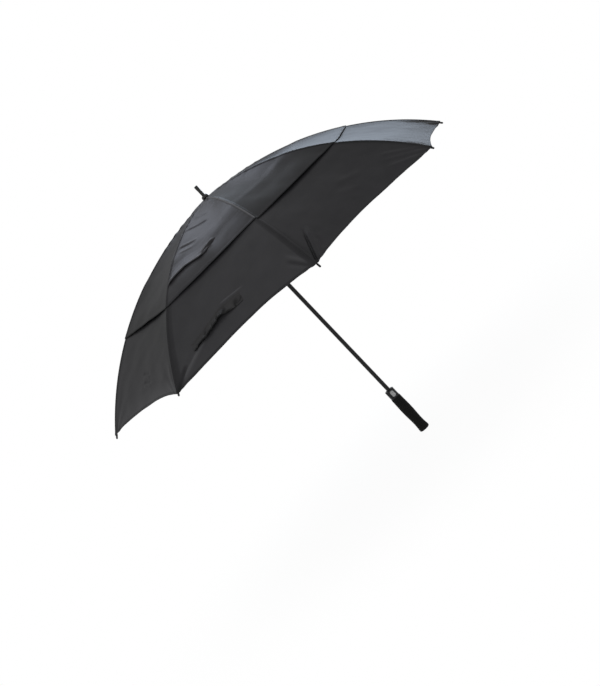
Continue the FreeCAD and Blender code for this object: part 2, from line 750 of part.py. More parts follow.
def gore_band(lift, thickness, start_slope, end_slope, half_width):
    """Straight-ruled strip of the canopy between two slopes, centred on the gore's middle plane."""
    inner, inner_ends = gore_arc(lift, start_slope, end_slope)
    outer, outer_ends = gore_arc(lift + thickness, start_slope, end_slope)
    edges = [
        inner,
        Part.LineSegment(inner_ends[1], outer_ends[1]).toShape(),
        outer,
        Part.LineSegment(outer_ends[0], inner_ends[0]).toShape(),
    ]
    face = Part.Face(Part.Wire(Part.sortEdges(edges)[0]))
    face.translate(Vector(0, -half_width, 0))
    return face.extrude(Vector(0, 2 * half_width, 0))


def gore_wedge():
    """Tall wedge between the two seams of a gore, clear of both."""
    half = math.radians(gore_half_angle)
    apex = seam_clearance / math.sin(half)
    reach = rib_bend_radius
    spread = reach * math.tan(half) - seam_clearance / math.cos(half)
    corners = [Vector(apex, 0, 0), Vector(reach, -spread, 0), Vector(reach, spread, 0)]
    return Part.Face(Part.makePolygon(corners + corners[:1])).extrude(Vector(0, 0, 2 * crown_pivot_z))


def scallop_cutter(slope, lift, depth):
    """Upright cylinder outside the hem, whose side leaves the hem curved inwards."""
    half = math.radians(gore_half_angle)
    corner = rib_point(slope, lift)
    half_chord = corner.x * math.sin(half)
    radius = (half_chord ** 2 + depth ** 2) / (2 * depth)
    x = corner.x * math.cos(half) - depth + radius
    return Part.makeCylinder(radius, 2 * crown_pivot_z, Vector(x, 0, 0))


def make_gore(lift, start_arc, end_arc, scallop):
    start = rib_angle(start_arc)
    end = rib_angle(end_arc)
    half_width = rib_point(end).x * math.sin(math.radians(gore_half_angle)) + 20
    gore = gore_band(lift, cloth_thickness, start, end, half_width).common(gore_wedge())
    return gore.cut(scallop_cutter(end, lift, scallop))


def make_panel():
    """Lower gore and the vent gore above it."""
    lower = make_gore(cloth_over_ribs, lower_canopy_start, rib_arc_length - hem_to_tip, lower_scallop)
    upper_lift = cloth_over_ribs + cloth_thickness + upper_cloth_lift
    upper = make_gore(upper_lift, 0.0, upper_canopy_end, upper_scallop)
    upper = upper.cut(cylinder(crown_hole_radius, 0, 2 * crown_pivot_z))
    return compound([lower, upper])


def strap_piece(start_along, end_along, width, lift, thickness):
    """Part of the strap between two shares of its length: a slanting strip of the gore's surface."""
    slack = 2 * strap_width
    low = rib_angle(strap_root_arc - slack)
    high = rib_angle(strap_end_arc + slack)
    band = gore_band(lift, thickness, low, high, abs(strap_end_offset) + slack)
    squeeze = math.cos(math.radians(gore_half_angle))
    root = Vector(rib_point(rib_angle(strap_root_arc)).x * squeeze, strap_root_offset, 0)
    end = Vector(rib_point(rib_angle(strap_end_arc)).x * squeeze, strap_end_offset, 0)
    along = end - root
    start_point = root + along * start_along
    end_point = root + along * end_along
    slope = math.radians(rib_angle((strap_root_arc + strap_end_arc) / 2))
    side = Vector(along.y, -along.x, 0)
    side.normalize()
    side = side * (width / 2 * math.cos(slope))
    corners = [start_point - side, end_point - side, end_point + side, start_point + side]
    outline = Part.Face(Part.makePolygon(corners + corners[:1]))
    return band.common(outline.extrude(Vector(0, 0, 2 * crown_pivot_z)))


def make_strap():
    """Closing strap lying on the lower canopy near the hem, with its fastening patch."""
    lift = cloth_over_ribs + cloth_thickness + seat_fit
    strap = strap_piece(0.0, 1.0, strap_width, lift, strap_thickness)
    length = abs(strap_end_offset - strap_root_offset)
    patch_end = (strap_patch_length + 4.0) / length
    patch = strap_piece(4.0 / length, patch_end, strap_patch_width, lift + strap_thickness,
                        strap_patch_thickness)
    return strap.fuse(patch)


# ---- build --------------------------------------------------------------------------------------
def build():
    os.makedirs("parts", exist_ok=True)
    export("end_cap", make_end_cap())
    export("grip", make_grip())
    export("collar", make_collar())
    export("button", make_button())
    export("catch", make_catch())
    export("catch_pin", make_catch_pin())
    export("shaft", make_shaft())
    export("ferrule", make_ferrule())
    export("ferrule_tip", make_ferrule_tip())
    export("crown", make_crown())
    export("crown_wire", hub_wire(crown_pivot_z))
    export("runner", make_runner())
    export("runner_wire", hub_wire(runner_pivot_z))
    export("slider", make_slider())
    export("slider_wire", hub_wire(slider_pivot_z))
    export("main_spring", make_main_spring())
    rib = make_rib()
    fittings = make_fittings()
    stretcher = make_stretcher()
    arm = make_arm()
    panel = make_panel()
    for index in range(rib_count):
        azimuth = 360.0 * index / rib_count
        number = str(index + 1)
        export("rib_" + number, turned(rib, azimuth))
        export("rib_fittings_" + number, turned(fittings, azimuth))
        export("stretcher_" + number, turned(stretcher, azimuth))
        export("spring_arm_" + number, turned(arm, azimuth))
        export("panel_" + number, turned(panel, azimuth + gore_half_angle))
    strap_azimuth = 360.0 * (strap_gore - 1) / rib_count + gore_half_angle
    export("closing_strap", turned(make_strap(), strap_azimuth))
    print("pin", pin_slope, pin_point, "link slope", link_slope)
    print("runner z", runner_pivot_z, "closed", runner_closed_z, "slider z", slider_pivot_z)
    print("top", ferrule_seat_z + ferrule_collar_height + ferrule_rod_length + ferrule_tip_length)


build()
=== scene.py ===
import json
import math

import bpy
import numpy as np
from mathutils import Matrix, Vector


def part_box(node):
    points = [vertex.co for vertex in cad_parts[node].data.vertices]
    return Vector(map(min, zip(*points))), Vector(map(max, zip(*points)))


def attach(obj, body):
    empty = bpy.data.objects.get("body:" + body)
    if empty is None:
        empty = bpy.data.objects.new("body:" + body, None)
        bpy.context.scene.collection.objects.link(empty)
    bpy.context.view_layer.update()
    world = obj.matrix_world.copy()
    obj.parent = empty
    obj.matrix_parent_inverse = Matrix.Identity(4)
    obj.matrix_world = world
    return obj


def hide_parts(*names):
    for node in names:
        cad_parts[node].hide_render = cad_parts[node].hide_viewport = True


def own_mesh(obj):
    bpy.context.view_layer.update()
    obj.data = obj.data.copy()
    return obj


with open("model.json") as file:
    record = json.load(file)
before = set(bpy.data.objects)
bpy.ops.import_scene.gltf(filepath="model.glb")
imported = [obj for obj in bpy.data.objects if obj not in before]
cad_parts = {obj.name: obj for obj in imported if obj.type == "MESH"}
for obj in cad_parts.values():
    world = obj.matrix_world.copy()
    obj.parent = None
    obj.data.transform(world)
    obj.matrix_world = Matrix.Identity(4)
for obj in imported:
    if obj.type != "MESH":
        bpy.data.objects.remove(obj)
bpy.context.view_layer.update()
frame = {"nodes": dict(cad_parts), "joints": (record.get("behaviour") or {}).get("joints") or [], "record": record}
print("frame loaded,", len(frame["nodes"]), "nodes")


foldJoint = [j for j in frame["joints"] if j["name"] == "umbrella_fold"][0]
pivotRadius, _, crownZ = foldJoint["pos_m"]  # the first rib's pivot on the crown

umbrella = {
    "gores": 8,
    "ribBend": 0.877,  # radius of the open rib
    "ribStart": math.radians(2.0),  # slope of the rib at the crown
}
goreHalf = math.pi / umbrella["gores"]
ribCentreX = pivotRadius - umbrella["ribBend"] * math.sin(umbrella["ribStart"])
ribCentreZ = crownZ - umbrella["ribBend"] * math.cos(umbrella["ribStart"])


# camera: it stands level with the canopy, rolled so that the shaft slants down to the right
view = {
    "aim": (-0.0918505, -0.0064588, 0.4284747),
    "azimuth": -6.516452,
    "elevation": 5.952304,
    "distance": 4.540438,
    "roll": 43.668809,
    "lens": 84.305,
    "sensor": 36.0,
    "farClip": 60,
}


def makeCamera():
    azimuth, elevation, roll = (math.radians(view[k]) for k in ("azimuth", "elevation", "roll"))
    forward = Vector((-math.sin(azimuth) * math.cos(elevation),
                      math.cos(azimuth) * math.cos(elevation), -math.sin(elevation)))
    level = Vector((math.cos(azimuth), math.sin(azimuth), 0))
    upright = level.cross(forward)
    right = level * math.cos(roll) - upright * math.sin(roll)
    up = level * math.sin(roll) + upright * math.cos(roll)
    turn = Matrix((right, up, -forward)).transposed().to_4x4()
    data = bpy.data.cameras.new("camera")
    data.lens, data.sensor_width = view["lens"], view["sensor"]
    data.clip_end = view["farClip"]
    camera = bpy.data.objects.new("camera", data)
    camera.matrix_world = Matrix.Translation(Vector(view["aim"]) - forward * view["distance"]) @ turn
    bpy.context.scene.collection.objects.link(camera)
    bpy.context.scene.camera = camera


makeCamera()
bpy.context.scene.view_settings.view_transform = "Standard"
print("camera set")


# small helpers for node trees
def addNode(tree, kind, **values):
    node = tree.nodes.new(kind)
    for name, value in values.items():
        setattr(node, name, value)
    return node


def newMaterial(name):
    material = bpy.data.materials.new(name)
    material.use_nodes = True
    tree = material.node_tree
    return material, tree, tree.nodes["Principled BSDF"]


speckleRamp = (0.35, 0.65)  # noise below the first is all dark, above the second all light


def speckle(tree, scale, detail, dark, light):
    coords = addNode(tree, "ShaderNodeTexCoord")
    noise = addNode(tree, "ShaderNodeTexNoise")
    noise.inputs["Scale"].default_value = scale
    noise.inputs["Detail"].default_value = detail
    tree.links.new(coords.outputs["Object"], noise.inputs["Vector"])
    ramp = addNode(tree, "ShaderNodeValToRGB")
    elements = ramp.color_ramp.elements
    elements[0].position, elements[1].position = speckleRamp
    elements[0].color, elements[1].color = (*dark, 1), (*light, 1)
    tree.links.new(noise.outputs["Fac"], ramp.inputs["Fac"])
    return noise, ramp


def addBump(tree, shader, height, strength, distance):
    bump = addNode(tree, "ShaderNodeBump")
    bump.inputs["Strength"].default_value = strength
    bump.inputs["Distance"].default_value = distance
    tree.links.new(height, bump.inputs["Height"])
    tree.links.new(bump.outputs["Normal"], shader.inputs["Normal"])


cloth = {
    "thickness": 0.0005,
    "threadPitch": 0.0006,
    "weaveStrength": 0.15,
    "weaveDepth": 0.00008,
    "cloudScale": 24,
    "cloudDetail": 4,
    "dark": (0.0224, 0.0221, 0.0241),
    "light": (0.0260, 0.0255, 0.0277),
    "proofing": 0.224,  # thin water-repellent coat
    "strapDark": (0.0385, 0.0378, 0.0385),
    "strapLight": (0.0440, 0.0432, 0.0440),
    "strapProofing": 0.08,
    "proofingRoughness": 0.34,
    "roughness": 0.7,
    # colours of the painted shade and the painted highlight that the tone mixes into the cloth
    "paintedShade": (0.35, 0.36, 0.36),
    "paintedHighlight": (0.115, 0.115, 0.120),
}
waveBand = 0.314  # length of one band of a wave texture of scale 1


def makeClothMaterial(name, dark, light, proofing):
    material, tree, shader = newMaterial(name)
    _, ramp = speckle(tree, cloth["cloudScale"], cloth["cloudDetail"], dark, light)
    # the mesh's tone: above 0 the cloth takes painted shade and is darker, below 0 it takes a painted highlight
    # and is pale
    tone = addNode(tree, "ShaderNodeAttribute", attribute_name="tone")
    darker = addNode(tree, "ShaderNodeMix", data_type="RGBA", blend_type="MULTIPLY")
    darker.inputs["B"].default_value = (*cloth["paintedShade"], 1)
    tree.links.new(tone.outputs["Fac"], darker.inputs["Factor"])
    tree.links.new(ramp.outputs["Color"], darker.inputs["A"])
    highlightShare = addNode(tree, "ShaderNodeMath", operation="MULTIPLY", use_clamp=True)
    highlightShare.inputs[1].default_value = -1
    tree.links.new(tone.outputs["Fac"], highlightShare.inputs[0])
    paler = addNode(tree, "ShaderNodeMix", data_type="RGBA")
    paler.inputs["B"].default_value = (*cloth["paintedHighlight"], 1)
    tree.links.new(highlightShare.outputs[0], paler.inputs["Factor"])
    tree.links.new(darker.outputs["Result"], paler.inputs["A"])
    tree.links.new(paler.outputs["Result"], shader.inputs["Base Color"])
    shader.inputs["Roughness"].default_value = cloth["roughness"]
    shader.inputs["Specular IOR Level"].default_value = 0
    shader.inputs["Coat Weight"].default_value = proofing
    shader.inputs["Coat Roughness"].default_value = cloth["proofingRoughness"]
    uv = addNode(tree, "ShaderNodeUVMap", uv_map="clothUV")
    weave = addNode(tree, "ShaderNodeMath", operation="MULTIPLY")
    for socket, direction in enumerate(("X", "Y")):  # warp and weft threads
        wave = addNode(tree, "ShaderNodeTexWave", wave_type="BANDS", bands_direction=direction)
        wave.inputs["Scale"].default_value = waveBand / cloth["threadPitch"]
        tree.links.new(uv.outputs["UV"], wave.inputs["Vector"])
        tree.links.new(wave.outputs["Fac"], weave.inputs[socket])
    addBump(tree, shader, weave.outputs[0], cloth["weaveStrength"], cloth["weaveDepth"])
    return material


plain = {
    "speckleDetail": 5,
    "specular": 0.15,
    "metalSpecular": 0.5,
    "coatRoughness": 0.15,
    "bumpStrength": 0.5,
}


def makePlainMaterial(name, dark, light, roughness, grain, bumpDepth=0.0, metallic=0.0, coat=0.0):
    material, tree, shader = newMaterial(name)
    noise, ramp = speckle(tree, grain, plain["speckleDetail"], dark, light)
    tree.links.new(ramp.outputs["Color"], shader.inputs["Base Color"])
    shader.inputs["Roughness"].default_value = roughness
    shader.inputs["Metallic"].default_value = metallic
    shader.inputs["Specular IOR Level"].default_value = plain["metalSpecular" if metallic else "specular"]
    shader.inputs["Coat Weight"].default_value = coat
    shader.inputs["Coat Roughness"].default_value = plain["coatRoughness"]
    if bumpDepth:
        addBump(tree, shader, noise.outputs["Fac"], plain["bumpStrength"], bumpDepth)
    return material


clothBlack = makeClothMaterial("clothBlack", cloth["dark"], cloth["light"], cloth["proofing"])
strapBlack = makeClothMaterial("strapBlack", cloth["strapDark"], cloth["strapLight"], cloth["strapProofing"])
threadBlack = makePlainMaterial("threadBlack", (0.022, 0.022, 0.024), (0.04, 0.04, 0.043),
                                roughness=0.7, grain=900)
finishes = {
    "grip_black": makePlainMaterial("gripBlack", (0.0055, 0.0055, 0.0052), (0.0100, 0.0100, 0.0090),
                                    roughness=0.78, grain=700, bumpDepth=0.0004),
    "end_cap": makePlainMaterial("capBlack", (0.007, 0.007, 0.007), (0.011, 0.011, 0.010),
                                 roughness=0.7, grain=500, bumpDepth=0.0002),
    "black_moulding": makePlainMaterial("mouldingBlack", (0.016, 0.016, 0.017), (0.022, 0.022, 0.023),
                                        roughness=0.42, grain=400, bumpDepth=0.0001),
    "shaft_lacquer": makePlainMaterial("shaftLacquer", (0.009, 0.009, 0.009), (0.013, 0.013, 0.013),
                                       roughness=0.34, grain=260, coat=0.1),
    "ferrule_gloss": makePlainMaterial("ferruleGloss", (0.010, 0.010, 0.010), (0.016, 0.016, 0.016),
                                       roughness=0.25, grain=300, coat=0.3),
    "button_grey": makePlainMaterial("buttonGrey", (0.43, 0.43, 0.42), (0.50, 0.50, 0.49),
                                     roughness=0.4, grain=300),
    "rib_black": makePlainMaterial("ribBlack", (0.012, 0.012, 0.012), (0.02, 0.02, 0.02),
                                   roughness=0.3, grain=350, coat=0.3),
    "rib_fittings": makePlainMaterial("fittingBlack", (0.015, 0.015, 0.016), (0.028, 0.028, 0.029),
                                      roughness=0.38, grain=600, bumpDepth=0.0001),
    "linkage_steel": makePlainMaterial("linkBlack", (0.014, 0.014, 0.015), (0.026, 0.026, 0.027),
                                       roughness=0.36, grain=420, bumpDepth=0.0001, coat=0.3),
    "spring_steel": makePlainMaterial("springSteel", (0.42, 0.42, 0.44), (0.58, 0.58, 0.6),
                                      roughness=0.28, grain=800, metallic=1.0),
}
slotOf = {s["node"]: s["material_slot"] for s in frame["record"]["subparts"]}
for nodeName, nodeObject in frame["nodes"].items():
    if slotOf.get(nodeName) in finishes:
        nodeObject.data.materials.clear()
        nodeObject.data.materials.append(finishes[slotOf[nodeName]])
print("materials made")


# canopy surface: along is the length on the rib, tangent the distance sideways from the gore's middle
def clothPoint(along, tangent, lift):
    turn = umbrella["ribStart"] + along / umbrella["ribBend"]
    reach = umbrella["ribBend"] + lift
    x = (ribCentreX + reach * np.sin(turn)) * math.cos(goreHalf)
    return x, tangent, ribCentreZ + reach * np.cos(turn)


def halfWidthAt(along, lift=0.0):
    turn = umbrella["ribStart"] + along / umbrella["ribBend"]
    return (ribCentreX + (umbrella["ribBend"] + lift) * np.sin(turn)) * math.sin(goreHalf)


def smooth(value, low, high):
    t = np.clip((value - low) / (high - low), 0, 1)
    return t * t * (3 - 2 * t)


def blend(first, second, share):
    return first + (second - first) * share


def peak(distance, width):
    return np.exp(-(distance / width) ** 2)


def rounded(listed, span):  # takes the corners off a listed line
    kernel = np.hanning(span) / np.hanning(span).sum()
    return np.convolve(np.pad(listed, span // 2, "edge"), kernel, "valid")


# eight values go from gore to gore, and hemReach's from rib to rib
# along and free say where something starts and where it is complete, on the rib or out from the seam
canopy = {
    "lowerStart": 0.305,
    "hem": 0.7185,
    "hemReach": (0, 0, 0, 0, 0, 0.003, -0.003, 0.003),  # how much further out the hem ends at each rib
    "hemScallop": (0.020, 0.020, 0.020, 0.020, 0.0220, 0.0215, 0.0185, 0.0150),
    "hemSkew": (0, 0, 0, 0, -0.0010, -0.0034, 0.0034, 0),  # above 0 further in beside the first rib
    "skewShape": 2.6,  # brings the largest offset to the size in hemSkew
    "hemFlatness": (2, 2, 2, 2, 2.7, 2, 2, 2),
    # the turned hem band is raised a little, and its tone is painted shade
    "hemBand": {"width": 0.008, "height": 0.0004, "step": 0.0008, "tone": 0.2, "toneStep": 0.001},
    "upperHem": 0.439,
    "upperScallop": 0.0050,
    # how much further out the upper cloth ends at a gore's first and second rib
    "ventReach": {5: (0.009, 0.022), 6: (0.022, 0), 7: (0.010, 0.007), 8: (0.007, 0.004)},
    "ventLift": {"heights": (0.0055,) * 7 + (0.0020,), "along": (0.34, 0.434)},
    "lift": {"lower": 0.0031, "upper": 0.0045},  # above the rib's middle line
    "rows": 84,
    "columns": 90,
    "crowding": 1.35,  # above 1 the columns lie closer together at the seams
    "fineRows": 170,  # on the gores with creases
    "fineColumns": 190,
    "fineCrowding": 1.15,
    "seam": {"height": 0.0011, "width": 0.0045},
    "sag": {"depth": 0.0085, "hemDepth": 0.0045, "along": (0.03, 0.20), "hemAlong": (0.50, 0.70)},
    "looseWaves": {
        "lengths": (0.16, 0.11, 0.085, 0.06, 0.045),
        "heights": (0.0011, 0.0008, 0.0005, 0.0003, 0.0002),
        "share": 0.38,
        "phase": (2.1, 1.7),  # what each gore and each wave adds
        "bearing": (0.63, 0.9),
        "free": (0.004, 0.05),
    },
    "puckerShare": (1, 1, 1, 1, 1, 1, 0.6, 0.2),
    "seamPuckers": {
        "height": 0.0003,
        "length": 0.019,
        "stray": (3, 40),  # how far their rhythm strays, and how often along the seam
        "strength": (0.6, 0.4, 21),  # its mean, its swing, and how often it swings
        "reach": 0.008,
        "clear": 0.004,
    },
    "tipFan": {"height": 0.0009, "folds": 14, "closest": 0.001, "behind": 0.02, "reach": 0.08,
               "free": (0.002, 0.02)},
    # how far the cloth drops beside its first and second rib's tip, and the width of each slope
    "tipDrops": {8: ((0.0020, 0.016), (0.0060, 0.034))},
    "tipDropAcross": (-0.5, 0.5),
    "tipDropAlong": (0.57, 0.72),
    "tipDropClear": 0.002,
    "crownGathers": {
        "waves": ((1, 11, 1.3), (0.6, 19, 1)),  # share, how often across the gore, and phase of each gore
        "height": 0.0007,
        "reach": 0.035,
        "along": (0.006, 0.03),
    },
    "ribWaves": {
        "waves": ((1, 0.027, 2.1), (0.5, 0.041, 1.3)),  # share, length, and phase of each rib
        "height": 0.0007,
        "settle": 0.0018,
        "reach": 0.03,
        "along": (0.030, 0.050),
        "ends": (0.14, 0.20),
        "settleEnds": (0.26, 0.30),
    },
    "creaseFree": (0.0005, 0.007),
    # painted shade beside each seam: its tone, its width near the crown and at the tip
    "seamTone": (0.35, 0.006, 0.008),  # tone of the seam, its width near the crown and at the tip
    "seamToneAlong": (0.45, 0.70),
    "seamToneEdge": (0.25, 1.4),  # shares of that width between which it fades
    "keep": {"lower": 0.38, "upper": 0.55},  # share of its width when the umbrella is closed
}


def sagRelief(along, across):
    sag = canopy["sag"]
    depth = blend(sag["depth"], sag["hemDepth"], smooth(along, *sag["hemAlong"]))
    return -depth * (1 - across ** 2) * smooth(along, *sag["along"])


# several long waves with fixed phases give loose, repeatable unevenness
def looseRelief(gore, along, tangent, edge):
    waves = canopy["looseWaves"]
    height = 0
    for k, (length, size) in enumerate(zip(waves["lengths"], waves["heights"])):
        phase = waves["phase"][0] * gore + waves["phase"][1] * k
        bearing = waves["bearing"][0] * gore + waves["bearing"][1] * k
        onward = along * math.cos(bearing) + tangent * math.sin(bearing)
        height = height + size * np.sin(2 * math.pi * onward / length + phase)
    return waves["share"] * height * smooth(edge, *waves["free"])


def puckerRelief(gore, along, edge):
    puckers = canopy["seamPuckers"]
    stray, strayRate = puckers["stray"]
    mean, swing, swingRate = puckers["strength"]
    rhythm = 2 * math.pi * along / puckers["length"] + stray * np.sin(along * strayRate + gore)
    height = puckers["height"] * np.sin(rhythm) * (mean + swing * np.sin(along * swingRate + 2 * gore))
    nearSeam = np.exp(-edge / puckers["reach"]) * smooth(edge, 0.0, puckers["clear"])
    return canopy["puckerShare"][gore - 1] * height * nearSeam


def seamRelief(edge):  # felled seam, a rounded cord of cloth
    bulge = np.clip(1 - edge / canopy["seam"]["width"], 0, 1)
    return canopy["seam"]["height"] * np.sqrt(1 - (1 - bulge) ** 2)


# folds that fan out from the ribs' tips
def fanRelief(gore, along, edge):
    fan = canopy["tipFan"]
    toTip = canopy["hem"] - along
    angle = np.arctan2(edge, np.maximum(toTip, fan["closest"]) + fan["behind"])
    nearTip = np.exp(-np.hypot(edge, toTip) / fan["reach"]) * smooth(edge, *fan["free"])
    return fan["height"] * np.sin(angle * fan["folds"] + gore) * nearTip


# on some gores the cloth drops off beside the ribs' tips
def dropRelief(gore, along, across, edge):
    if gore not in canopy["tipDrops"]:
        return 0
    (firstDrop, firstSlope), (secondDrop, secondSlope) = canopy["tipDrops"][gore]
    drop = blend(firstDrop, secondDrop, smooth(across, *canopy["tipDropAcross"]))
    slope = np.where(across > 0, secondSlope, firstSlope)
    return -drop * smooth(edge, canopy["tipDropClear"], slope) * smooth(along, *canopy["tipDropAlong"])


def crownRelief(gore, along, across):
    gathers = canopy["crownGathers"]
    gather = sum(share * np.sin(across * rate + phase * gore) for share, rate, phase in gathers["waves"])
    nearCrown = np.exp(-along / gathers["reach"]) * smooth(along, *gathers["along"])
    return gathers["height"] * gather * (1 - across ** 2) * nearCrown


# the upper cloth settles on the ribs, in short waves near the crown
def ribRelief(gore, along, tangent, edge):
    waves = canopy["ribWaves"]
    rib = np.where(tangent > 0, gore % umbrella["gores"] + 1, gore)
    wave = sum(share * np.sin(2 * math.pi * along / length + phase * rib)
               for share, length, phase in waves["waves"])
    nearRib = peak(edge, waves["reach"]) * (1 - smooth(along, *waves["ends"]))
    raised = canopy["puckerShare"][gore - 1] * waves["height"] * wave * nearRib
    onRib = smooth(along, *waves["along"]) * (1 - smooth(along, *waves["settleEnds"]))
    return -onRib * (waves["settle"] - raised)


def ventRelief(gore, along, across):
    vent = canopy["ventLift"]
    return vent["heights"][gore - 1] * (1 - across ** 2) * smooth(along, *vent["along"])


def clothRelief(gore, layer, along, tangent, across):
    edge = halfWidthAt(along) - np.abs(tangent)  # distance to the seam
    heights = [sagRelief(along, across), looseRelief(gore, along, tangent, edge),
               puckerRelief(gore, along, edge), seamRelief(edge)]
    if layer == "lower":
        heights += [fanRelief(gore, along, edge), dropRelief(gore, along, across, edge)]
    else:
        heights += [crownRelief(gore, along, across), ribRelief(gore, along, tangent, edge),
                    ventRelief(gore, along, across)]
    for inner, outer, height, width, _ in creases.get((gore, layer), []):
        mask = creaseMask(inner, outer, width, along, tangent)
        heights.append(height * mask * smooth(edge, *canopy["creaseFree"]))
    return sum(heights)


# creases: two ends as (along, tangent), height (below 0 for a valley), half width and tone, which is painted shade
# above 0 and a painted highlight below 0
creases = {
    (6, "upper"): [
        ((0.172, -0.062), (0.215, 0.012), -0.0020, 0.0045, 0.5),
        ((0.165, -0.066), (0.205, 0.006), 0.0013, 0.006, -0.10),
        ((0.110, -0.044), (0.168, 0.014), -0.0011, 0.0035, 0.25),
        ((0.242, -0.092), (0.268, -0.032), 0.0012, 0.0042, -0.20),
        ((0.252, -0.094), (0.278, -0.034), -0.0011, 0.0042, 0.3),
        ((0.271, -0.097), (0.292, -0.050), 0.0012, 0.0042, -0.16),
        ((0.352, 0.030), (0.384, -0.014), -0.0050, 0.0042, 0.5),
        ((0.343, 0.024), (0.372, -0.014), 0.0026, 0.0050, 0),
        # a line of painted shade beside the fourth rib, with no crease in the cloth
        ((0.376, -0.1475), (0.467, -0.1758), 0, 0.0042, 0.9),
    ],
    (6, "lower"): [
        ((0.640, -0.096), (0.703, -0.214), 0.0028, 0.0058, -0.30),
        ((0.668, -0.185), (0.722, -0.246), -0.0026, 0.0060, 0.7),
        ((0.618, 0.180), (0.714, 0.246), 0.0014, 0.0055, -0.16),
        ((0.636, 0.176), (0.716, 0.238), -0.0010, 0.0050, 0.15),
        ((0.652, 0.170), (0.717, 0.230), 0.0009, 0.0050, -0.06),
        ((0.5975, 0.054), (0.5905, -0.027), 0.0016, 0.0030, -0.16),
    ],
    (7, "lower"): [
        ((0.592, -0.156), (0.716, -0.243), -0.0052, 0.0034, 0.6),
        ((0.596, -0.144), (0.716, -0.233), 0.0034, 0.0075, 0),
        ((0.648, -0.166), (0.690, -0.186), -0.0014, 0.006, 0),
        ((0.640, -0.150), (0.705, -0.196), 0.0012, 0.008, 0),
        ((0.560, 0.020), (0.600, 0.085), 0.0012, 0.013, 0),
        ((0.590, -0.010), (0.640, 0.040), 0.0011, 0.012, 0),
        ((0.600, 0.150), (0.700, 0.236), 0.0012, 0.006, -0.10),
        ((0.625, 0.135), (0.705, 0.225), 0.0012, 0.006, -0.10),
        ((0.655, 0.120), (0.708, 0.210), 0.0012, 0.006, -0.08),
    ],
    (5, "lower"): [
        ((0.600, -0.006), (0.611, 0.045), -0.0014, 0.0055, 0.5),
        ((0.608, -0.006), (0.619, 0.045), 0.0012, 0.006, -0.05),
        ((0.626, 0.000), (0.637, 0.052), -0.0015, 0.0055, 0.5),
        ((0.635, 0.000), (0.646, 0.052), 0.0011, 0.006, -0.05),
        ((0.620, 0.200), (0.716, 0.243), 0.0012, 0.010, 0),
    ],
    (8, "lower"): [
        ((0.560, -0.130), (0.700, -0.225), 0.0012, 0.007, 0.3),
        ((0.590, -0.110), (0.705, -0.200), 0.0012, 0.007, 0.3),
    ],
}


creaseFade = {"in": 0.3, "out": 0.85, "past": 0.01}  # shares of its length, and a length past its end


def creaseMask(inner, outer, width, along, tangent):
    (a0, t0), (a1, t1) = inner, outer
    length = math.hypot(a1 - a0, t1 - t0)
    da, dt = (a1 - a0) / length, (t1 - t0) / length
    lengthwise = (along - a0) * da + (tangent - t0) * dt
    sideways = -(along - a0) * dt + (tangent - t0) * da
    starts = smooth(lengthwise, 0, creaseFade["in"] * length)
    ends = smooth(lengthwise, creaseFade["out"] * length, length + creaseFade["past"])
    return starts * (1 - ends) * peak(sideways, width)


# one gore's upper cloth is doubled into a fold above the vent
fold = {
    "gore": 6,
    # the fold's highest line, as (tangent, along)
    "crest": ((-0.160, 0.386), (-0.146, 0.383), (-0.131, 0.379), (-0.113, 0.371), (-0.092, 0.3665),
              (-0.078, 0.3640), (-0.056, 0.370), (-0.029, 0.381), (-0.0065, 0.380), (0.0055, 0.369),
              (0.021, 0.361), (0.06, 0.352)),
    "crestPoints": 400,
    "rounding": 31,
    "fade": (-0.010, 0.024),
    "free": (0.0, 0.012),
    # a painted highlight along the fold's crest
    "paintedHighlight": {"tone": 0.30, "above": 0.002, "width": 0.0035},  # above is how far it lies towards the crown
    # across the fold, as (cloth used, place, height)
    "steps": ((-0.070, -0.070, 0), (-0.045, -0.0453, 0.0005), (-0.028, -0.0285, 0.0018),
              (-0.014, -0.0145, 0.0038), (-0.005, -0.0045, 0.0056), (0, 0.0014, 0.0063),
              (0.003, 0.0048, 0.0060), (0.006, 0.0062, 0.0048), (0.009, 0.0036, 0.0040),
              (0.013, -0.0035, 0.0033), (0.018, -0.0080, 0.0018), (0.022, -0.0040, 0.0006),
              (0.028, 0.0060, 0)),
    "middle": 0.365,  # its place on the rib
    "rowMarks": (-0.070, -0.014, 0.026),  # rows lie closer together between these distances from the crest
    "rowShares": (0.38, 0.14, 0.34),  # share of all rows up to each mark
}


def foldCrest(tangent):
    tangents, arcs = zip(*fold["crest"])
    table = np.linspace(tangents[0], tangents[-1], fold["crestPoints"])
    return np.interp(tangent, table, rounded(np.interp(table, tangents, arcs), fold["rounding"]))


def foldStrength(tangent, edge):
    return (1 - smooth(tangent, *fold["fade"])) * smooth(edge, *fold["free"])


def foldShift(along, tangent, end):
    crest = foldCrest(tangent)
    strength = foldStrength(tangent, halfWidthAt(along) - np.abs(tangent))
    used, place, height = (np.array(v) for v in zip(*fold["steps"]))
    reach = along - crest
    shift = np.interp(reach, used, place - used)
    # the cloth taken up is given back before the hem
    left = np.clip((end - along) / (end - crest - used[-1]), 0, 1)
    shift = np.where(reach > used[-1], (place[-1] - used[-1]) * left, shift)
    return shift * strength, np.interp(reach, used, height) * strength


def foldRows(across, rows, end):
    crest = foldCrest(across * halfWidthAt(fold["middle"]))
    marks = [np.zeros_like(crest)] + [crest + mark for mark in fold["rowMarks"]] + [end]
    counts = [int(rows * share) for share in fold["rowShares"]]
    counts.append(rows - sum(counts))
    along = []
    for k, count in enumerate(counts):
        steps = count - 1 if k == len(counts) - 1 else count
        share = np.arange(count)[:, None] / steps
        along.append(blend(marks[k], marks[k + 1], share))
    return np.concatenate(along, axis=0)


def goreAzimuth(gore):
    return (gore - 0.5) * 2 * goreHalf


